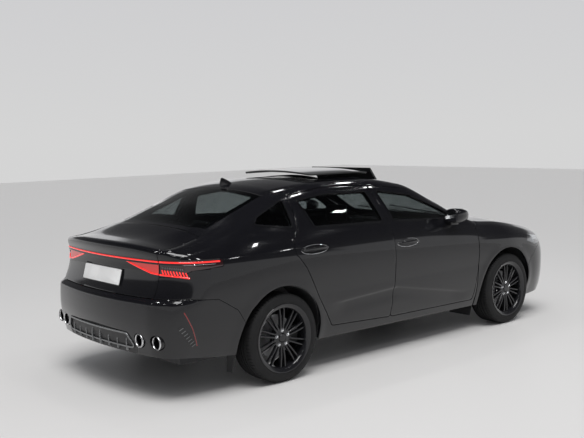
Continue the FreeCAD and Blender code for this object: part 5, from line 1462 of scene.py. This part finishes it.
@dataclass
class Openings:
    """Window trims, handles and mirrors of the doors.

    Args:
        handles: Ends along x and height of each handle, in millimetres.
    """
    handles: tuple = (("front", -58, 182, 905), ("rear", -1125, -880, 956))

    def build(self) -> None:
        """Every piece, on both sides."""
        for place, window in (("front", FRONT_WINDOW), ("rear", REAR_WINDOW)):
            add_sides(f"{place}_window_trim_SIDE", self.window_trim(window), GLOSS_TRIM,
                      f"{place}_door_SIDE_body")
        add_pair("quarter_window_trims", self.window_trim(QUARTER_WINDOW), GLOSS_TRIM)
        for row in self.handles:
            self.handle(*row)
        self.mirror()
        self.wipers()

    def window_trim(self, window: Sequence[tuple]) -> tuple:
        """Thin frame round a side window."""
        corners = rounded(window, 20)
        ring = on_side(along([*corners, corners[0]], 15 * MM)[:-1], 1 * MM)
        return bar(ring, strip(15 * MM, 6 * MM), FORM.normal(ring), True)

    def handle(self, place: str, low: float, high: float, z: float) -> None:
        """Grip of a door handle, a dark cup laid on the skin as painted shade of its recess, and a thin
        bright outline with a line under the grip as painted highlight.
        """
        share = np.linspace(0, 1, 25)
        xz = np.column_stack([low + (high - low) * share, np.full(25, z)]) * MM
        rise = 2 + 24 * np.clip(np.sin(math.pi * share), 0, 1) ** 0.35
        base = on_side(xz)
        grip = base + FORM.normal(base) * rise[:, None] * MM
        turn = np.linspace(0, 2 * math.pi, 40, endpoint=False)
        cup = np.column_stack([(low + high) / 2 + (high - low) * 0.56 * np.cos(turn), z + 33 * np.sin(turn)])
        ring = on_side(cup * MM, 0.5 * MM)
        # Painted shade: a gloss-black sheet on the skin stands for the shaded recess round the grip.
        shade_sheet = Patch(SIDE, (side_u((high + 30) * MM), side_u((low - 30) * MM)), (0.0, math.radians(28)),
                     8 * MM, 0.012, [outline(cup, "xz")], -0.6 * MM, 2 * MM).build()
        line = grip + np.array([0, 0, -10 * MM])
        body = f"{place}_door_SIDE_body"
        add_sides(f"{place}_handle_grip_SIDE", bar(grip, oval(11 * MM, 23 * MM, 16, 2.6)), PAINT, body)
        add_sides(f"{place}_handle_cup_SIDE", shade_sheet, GLOSS_TRIM, body)
        # Painted highlight: chrome bars round the cup and under the grip stand for the bright edge of the
        # recess.
        edges = joined_mesh(bar(ring, oval(3 * MM, 3 * MM, 8), FORM.normal(ring), True),
                            bar(line, oval(12 * MM, 2.5 * MM, 8)))
        add_sides(f"{place}_handle_edge_SIDE", edges, CHROME, body)

    def mirror(self) -> None:
        """Rounded mirror shell on its foot, with glass towards the rear."""
        shape = ((545, 138, 106), (556, 150, 118), (600, 156, 126), (650, 148, 118), (700, 122, 94),
                 (736, 78, 56), (750, 36, 24))
        rings = []
        for x, width, height in shape:
            ring = oval(width * MM, height * MM, 32, 3.0)
            rings.append(np.column_stack([np.full(32, x * MM), 0.956 + ring[:, 0], 1.090 + ring[:, 1]]))
        foot = prism([(612, 1000), (606, 1050), (690, 1050), (716, 1000)], "y", 812, 905)
        glass = np.array([oval(126 * MM, 92 * MM, 32, 3.0)] * 2)
        x = np.broadcast_to(np.array([[[541 * MM]], [[546 * MM]]]), (2, 32, 1))
        glass = loft(np.concatenate([x, glass[:, :, :1] + 0.956, glass[:, :, 1:] + 1.090], axis=2))
        body = "front_door_SIDE_body"
        add_sides("mirror_shell_SIDE", loft(rings), PAINT, body, "mirror_SIDE", sharp=60)
        add_sides("mirror_foot_SIDE", foot, GLOSS_TRIM, body, bevel=6 * MM)
        add_sides("mirror_glass_SIDE", glass, CHROME, body)

    def wipers(self) -> None:
        """Two wiper arms that lie on the windscreen."""
        arms = []
        for start, stop in (((1090, -420), (905, 80)), ((1095, 160), (950, 560))):
            line = on_top(along([start, stop], 30 * MM), 12 * MM)
            arms.append(bar(line, oval(12 * MM, 10 * MM, 8)))
        add_piece("wiper_arms", joined_mesh(*arms), TRIM, "root")


@dataclass
class RoofItems:
    """Raised sunroof pane, roof lining and antenna fin."""

    def build(self) -> None:
        """Every piece of the roof."""
        pane_lift = 52 * MM
        area = ((-0.64, 0.09), (-0.45, 0.45), 20 * MM, 20 * MM)
        pane = Patch(TOP, *area, [outline(SUNROOF_PANE, "xy", 30 * MM, mirrored=True)],
                     -pane_lift, -pane_lift + 6 * MM).build()
        add_piece("sunroof_pane", pane, DARK_GLASS, "root", "sunroof_glass")
        rim = Patch(TOP, *area, [
            outline(SUNROOF_PANE, "xy", 30 * MM, -4 * MM, mirrored=True),
            outside(outline(SUNROOF_PANE, "xy", 20 * MM, -45 * MM, mirrored=True))],
            -pane_lift + 6 * MM, -pane_lift + 16 * MM).build()
        add_piece("sunroof_rim", rim, TRIM, "root")
        lining = Patch(TOP, (-0.85, 0.30), (-0.58, 0.58), 26 * MM, 26 * MM, [
            outline(LINING, "xy", mirrored=True),
            outside(outline(SUNROOF, "xy", 0, 2 * MM, mirrored=True))], 34 * MM, 44 * MM).build()
        add_piece("roof_lining", lining, LINING_CLOTH, "root")
        rings = []
        for x, low, high, half in ((-1218, 1372, 1378, 4), (-1210, 1372, 1440, 8), (-1198, 1374, 1478, 11),
                                   (-1180, 1378, 1479, 13), (-1140, 1386, 1462, 15), (-1100, 1392, 1440, 14),
                                   (-1072, 1398, 1422, 10), (-1060, 1400, 1408, 3)):
            turn = np.linspace(0, 2 * math.pi, 16, endpoint=False)
            middle, rise = (low + high) / 2, (high - low) / 2
            width = half * (0.62 - 0.38 * np.sin(turn))
            rings.append(np.column_stack([np.full(16, x), width * np.cos(turn),
                                          middle + rise * np.sin(turn)]) * MM)
        add_piece("antenna_fin", loft(rings), PAINT, "root", sharp=60)


@dataclass
class Cabin:
    """Padded seats, steering wheel and screens.

    Args:
        voxel: Grid of the pads before they swell.
        frames: Steps of the simulation.
        swell: How far a point of a pad may move.
    """
    voxel: float = 13 * MM
    frames: int = 12
    swell: float = 11 * MM

    def build(self) -> None:
        """Every piece of the cabin."""
        for make in (self.front_seats, self.rear_seat, self.steering_wheel, self.instruments):
            make()

    @staticmethod
    def corners(obj: bpy.types.Object) -> Points:
        """Places of a mesh's corners."""
        return np.array([v.co for v in obj.data.vertices])

    def pad(self, name: str, mesh: tuple, nodes: Sequence[str], channels: Sequence[float], axis: int,
            face: Sequence[float]) -> tuple:
        """One stuffed pad.

        Args:
            name: Piece name.
            mesh: Its form before it swells.
            nodes: CAD nodes it stands for.
            channels: Places of its sewn channels.
            axis: Axis that the channels' places run along.
            face: Direction that its upholstered face looks in.

        Returns:
            The mesh of the finished pad.
        """
        obj = make_object(name, mesh, SEAT_LEATHER.build(), 34 * MM)
        modifier = obj.modifiers.new("grid", "REMESH")
        modifier.mode = "VOXEL"
        modifier.voxel_size = self.voxel
        settle(obj)
        before = self.corners(obj)
        cloth = obj.modifiers.new("swell", "CLOTH")
        cloth.settings.use_pressure = True
        cloth.settings.uniform_pressure_force = 4
        cloth.settings.effector_weights.gravity = 0
        cloth.settings.quality = 4
        scene = bpy.context.scene
        for step in range(1, self.frames + 1):
            scene.frame_set(step)
        settle(obj)
        scene.frame_set(1)
        move = self.corners(obj) - before
        length = np.linalg.norm(move, axis=1)[:, None]
        after = before + move * np.minimum(1, self.swell / np.maximum(length, 1e-9))
        normals = np.array([v.normal for v in obj.data.vertices])
        facing = np.clip(normals @ np.array(face), 0, 1) ** 0.5
        for place in channels:
            dip = np.exp(-((after[:, axis] - place) / (7 * MM)) ** 2)
            after -= normals * (facing * dip * 8 * MM)[:, None]
        obj.data.vertices.foreach_set("co", after.ravel())
        obj.data.shade_smooth()
        if not obj.data.materials:
            obj.data.materials.append(SEAT_LEATHER.build())
        dress(obj, SEAT_LEATHER, "root")
        if nodes:
            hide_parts(*nodes)
        return self.corners(obj), [tuple(p.vertices) for p in obj.data.polygons]

    @staticmethod
    def twin(name: str, mesh: tuple) -> None:
        """A finished pad's mirror image."""
        twin = make_object(name, mirrored_mesh(*mesh), SEAT_LEATHER.build())
        dress(twin, SEAT_LEATHER, "root")

    def front_seats(self) -> None:
        """Cushion, back and headrest of both front seats."""
        cushion = prism([(545, 322), (545, 405), (505, 446), (60, 420), (-40, 440), (-70, 322)],
                        "y", 132, 608)
        back = prism([(-42, 470), (-70, 632), (-222, 1000), (-312, 992), (-150, 470)], "y", 134, 606)
        head = prism([(-222, 1062), (-226, 1200), (-248, 1222), (-312, 1216), (-306, 1062)], "y", 262, 478)
        for name, mesh, channels, axis, face in (
                ("cushion", cushion, (0.08, 0.20, 0.32, 0.44), 0, (0, 0, 1)),
                ("back", back, (0.60, 0.70, 0.80, 0.90), 2, (1, 0, 0)), ("headrest", head, (), 2, (1, 0, 0))):
            nodes = ["front_seats"] if name == "cushion" else []
            made = self.pad(f"front_seat_{name}_left", mesh, nodes, channels, axis, face)
            self.twin(f"front_seat_{name}_right", made)
        posts = joined_mesh(*(block((-272, -262), y, (985, 1080)) for y in ((305, 315), (425, 435))))
        add_pair("headrest_posts", posts, STEEL)
        runners = joined_mesh(*(block((-20, 500), y, (262, 330)) for y in ((170, 200), (540, 570))))
        add_pair("seat_runners", runners, TRIM)

    def rear_seat(self) -> None:
        """Cushion, back and headrests of the rear seat."""
        cushion = prism([(-568, 300), (-552, 418), (-600, 462), (-940, 436), (-1010, 424), (-1010, 424),
                         (-716, 300)], "y", -588, 588)
        back = prism([(-975, 470), (-1092, 700), (-1172, 1004), (-1228, 1008), (-1228, 470)], "y", -588, 588)
        head = prism([(-1138, 1022), (-1142, 1108), (-1202, 1116), (-1212, 1022)], "y", 206, 434)
        self.pad("rear_seat_cushion", cushion, ["rear_seat"], (-0.68, -0.78, -0.88), 0, (0, 0, 1))
        self.pad("rear_seat_back", back, [], (-0.2, 0.2), 1, (1, 0, 0))
        self.twin("rear_headrest_right", self.pad("rear_headrest_left", head, [], (), 2, (1, 0, 0)))

    def steering_wheel(self) -> None:
        """Rim, spokes and hub of the steering wheel."""
        hub = Vector((0.505, 0.370, 0.868))
        column = Vector((0.91355, 0, -0.40674))
        turn = np.linspace(0, 2 * math.pi, 24, endpoint=False)
        grip = revolved(np.column_stack([170 + 14 * np.cos(turn), 14 * np.sin(turn)]), hub, column, 72)
        boss = revolved(((0, -14), (50, -12), (60, 0), (56, 26), (0, 30)), hub, column, 40)
        stalk = revolved(((0, 20), (19, 20), (19, 335), (0, 335)), hub, column, 24)
        arms = joined_mesh(bar(np.array([hub + Vector((0, y, 0)) for y in np.linspace(-0.165, 0.165, 12)]),
                               strip(14 * MM, 40 * MM)),
                           bar(np.array([hub + Vector((-0.4067, 0, -0.9135)) * s
                                         for s in np.linspace(0.02, 0.165, 6)]),
                               strip(44 * MM, 12 * MM), tuple(column)))
        add_piece("steering_wheel_whole", joined_mesh(grip, boss, stalk, arms), SOFT_TRIM,
                  "steering_wheel_body", "steering_wheel")

    def instruments(self) -> None:
        """Screens on the dashboard, the middle console and its lever."""
        screen = prism([(712, 890), (722, 985), (732, 985), (724, 890)], "y", -150, 560)
        add_piece("dash_screens", screen, GLOSS_TRIM, "root", bevel=3 * MM)
        console = prism([(-260, 372), (-260, 540), (-180, 570), (300, 590), (700, 700), (730, 372)],
                        "y", -112, 112)
        add_piece("middle_console", console, SOFT_TRIM, "root", bevel=18 * MM)
        lever = prism([(250, 585), (262, 660), (300, 664), (310, 585)], "y", -22, 22)
        add_piece("console_lever", lever, GLOSS_TRIM, "root", bevel=8 * MM)


@dataclass
class NoseFace:
    """Lamps and grille of the front."""

    def build(self) -> None:
        """Every piece of the nose."""
        add_pair("headlamp_lenses", self.lamp_patch(0.5 * MM, 4 * MM, 0.0), CLEAR, node="headlamps")
        add_pair("headlamp_backs", self.lamp_patch(44 * MM, 48 * MM, 2 * MM), GLOSS_TRIM)
        units = []
        for x, y, z in ((2120, 520, 742), (2085, 590, 746), (2040, 655, 752)):
            place = np.array((x, y, z)) * MM
            units.append(revolved(((0, 0), (23, 0), (25, 18), (22, 24), (19, 20), (0, 8)), place,
                                  (1, 0.15, 0), 32))
        add_pair("headlamp_units", joined_mesh(*units), CHROME)
        start = np.column_stack([np.full(40, 2.6), np.linspace(0.45, 0.70, 40),
                                 np.linspace(0.716, 0.724, 40)])
        line = FORM.met(start, (-1, 0, 0), 1.2, 12 * MM, FINE_LOOKS)
        add_pair("day_lamp_lines", bar(line, oval(6 * MM, 7 * MM, 8)), DAY_LAMP)
        start = np.column_stack([np.full(41, 2.7), np.linspace(-0.40, 0.40, 41), np.full(41, 0.36)])
        slat = bar(FORM.met(start, (-1, 0, 0), 1.2, 2 * MM, FINE_LOOKS), strip(18 * MM, 5 * MM))
        obj = make_object("grille_slats", slat, GLOSS_TRIM.build())
        Repeater(8, step=(0.0006, 0.0, 0.027)).apply(obj)
        dress(obj, GLOSS_TRIM, "root")

    def lamp_patch(self, outer: float, inner: float, shrink: float) -> tuple:
        """Left headlamp's face at a depth."""
        return walk_patch(SIDE, 0.35, side_u(1.78), -25, 25, [
            outline(HEADLAMP, "xz", 0, -shrink), beyond("y", 0.42)], outer, inner)


def finish_frame() -> None:
    """Give every CAD node that is shown the finish of its slot."""
    slots = {row["node"]: row["material_slot"] for row in frame["record"]["subparts"]}
    for name, node in frame["nodes"].items():
        node.data.materials.clear()
        node.data.materials.append(SLOT_FINISHES[slots[name]].build())


@dataclass
class Stage:
    """Pale floor, world, soft lamps and the photo's camera."""
    camera_place: tuple = (-5.420, -5.658, 1.820)
    heading: float = 48.655
    pitch: float = -5.565
    roll: float = -1.158
    focal_pixels: float = 871.96
    image_width: int = 584

    def build(self) -> None:
        """Everything round the car."""
        for make in (self.floor, self.world, self.lamps, self.camera):
            make()

    def floor(self) -> None:
        """One large pale floor."""
        data = bpy.data.meshes.new("floor")
        far = 30.0
        data.from_pydata([(-far, -far, 0), (far, -far, 0), (far, far, 0), (-far, far, 0)], [], [(0, 1, 2, 3)])
        obj = bpy.data.objects.new("floor", data)
        bpy.context.scene.collection.objects.link(obj)
        data.materials.append(FLOOR.build())

    def world(self) -> None:
        """Even light on rough surfaces; a pale surround under a dark ceiling where it is seen or mirrored."""
        world = bpy.data.worlds.new("surroundings")
        bpy.context.scene.world = world
        world.use_nodes = True
        tree = world.node_tree
        light, seen = tree.nodes["Background"], tree.nodes.new("ShaderNodeBackground")
        light.inputs["Color"].default_value = (0.40, 0.41, 0.43, 1)
        place, parts = tree.nodes.new("ShaderNodeTexCoord"), tree.nodes.new("ShaderNodeSeparateXYZ")
        tree.links.new(place.outputs["Generated"], parts.inputs[0])
        ramp = tree.nodes.new("ShaderNodeValToRGB")
        ramp.color_ramp.elements[0].position = 0.0
        ramp.color_ramp.elements[0].color = (0.66, 0.66, 0.66, 1)
        ramp.color_ramp.elements[1].position = 0.60
        ramp.color_ramp.elements[1].color = (0.015, 0.015, 0.017, 1)
        for at, shade in ((0.155, 0.62), (0.19, 0.12)):
            stop = ramp.color_ramp.elements.new(at)
            stop.color = (shade, shade, shade * 1.02, 1)
        tree.links.new(parts.outputs["Z"], ramp.inputs["Fac"])
        tree.links.new(ramp.outputs["Color"], seen.inputs["Color"])
        path, mix = tree.nodes.new("ShaderNodeLightPath"), tree.nodes.new("ShaderNodeMixShader")
        share = (Wire(tree, path.outputs["Is Camera Ray"]) + Wire(tree, path.outputs["Is Glossy Ray"])
                 + Wire(tree, path.outputs["Is Transmission Ray"]))
        plug(tree, share, mix.inputs["Fac"])
        tree.links.new(light.outputs[0], mix.inputs[1])
        tree.links.new(seen.outputs[0], mix.inputs[2])
        tree.links.new(mix.outputs[0], tree.nodes["World Output"].inputs["Surface"])

    def lamps(self) -> None:
        """One even lamp for all of the floor and rows of small ceiling lamps."""
        rows = [("sun", "SUN", (-1, -1.5, 6), 0.60, 2.15)]
        rows += [(f"ceiling_{i}_{j}", "AREA", (x, y, 4.0), 0.22, 5.0)
                 for i, x in enumerate((-4.6, -2.8, -1.0, 0.8, 2.6))
                 for j, y in enumerate((-4.4, -2.6, -0.8, 1.0))]
        for name, kind, place, size, power in rows:
            lamp = bpy.data.lights.new(name, kind)
            lamp.energy = power
            if kind == "SUN":
                lamp.angle = size
            else:
                lamp.size = size
            obj = bpy.data.objects.new(name, lamp)
            obj.location = place
            if kind == "SUN":
                obj.rotation_euler = Vector(place).to_track_quat("Z", "Y").to_euler()
            bpy.context.scene.collection.objects.link(obj)

    def camera(self) -> None:
        """The camera that the photo was taken with."""
        heading, pitch, roll = (math.radians(v) for v in (self.heading, self.pitch, self.roll))
        look = Vector((math.cos(heading) * math.cos(pitch), math.sin(heading) * math.cos(pitch),
                       math.sin(pitch)))
        right = look.cross(Vector((0, 0, 1))).normalized()
        up = right.cross(look)
        turned_right = right * math.cos(roll) + up * math.sin(roll)
        turned_up = -right * math.sin(roll) + up * math.cos(roll)
        data = bpy.data.cameras.new("camera")
        data.sensor_width = 36
        data.lens = 36 * self.focal_pixels / self.image_width
        obj = bpy.data.objects.new("camera", data)
        turn = Matrix((turned_right, turned_up, -look)).transposed()
        obj.matrix_world = Matrix.Translation(self.camera_place) @ turn.to_4x4()
        bpy.context.scene.collection.objects.link(obj)
        bpy.context.scene.camera = obj


def main() -> None:
    """Build the car and its surroundings."""
    logging.basicConfig(level=logging.INFO, format="%(name)s %(message)s")
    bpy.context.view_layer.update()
    bpy.context.scene.view_settings.view_transform = "Standard"
    finish_frame()
    for part in (Panels(), Glazing(), Wheels(), TailFace(), Openings(), RoofItems(), Cabin(), NoseFace(),
                 Stage()):
        part.build()


if __name__ == "__main__":
    main()
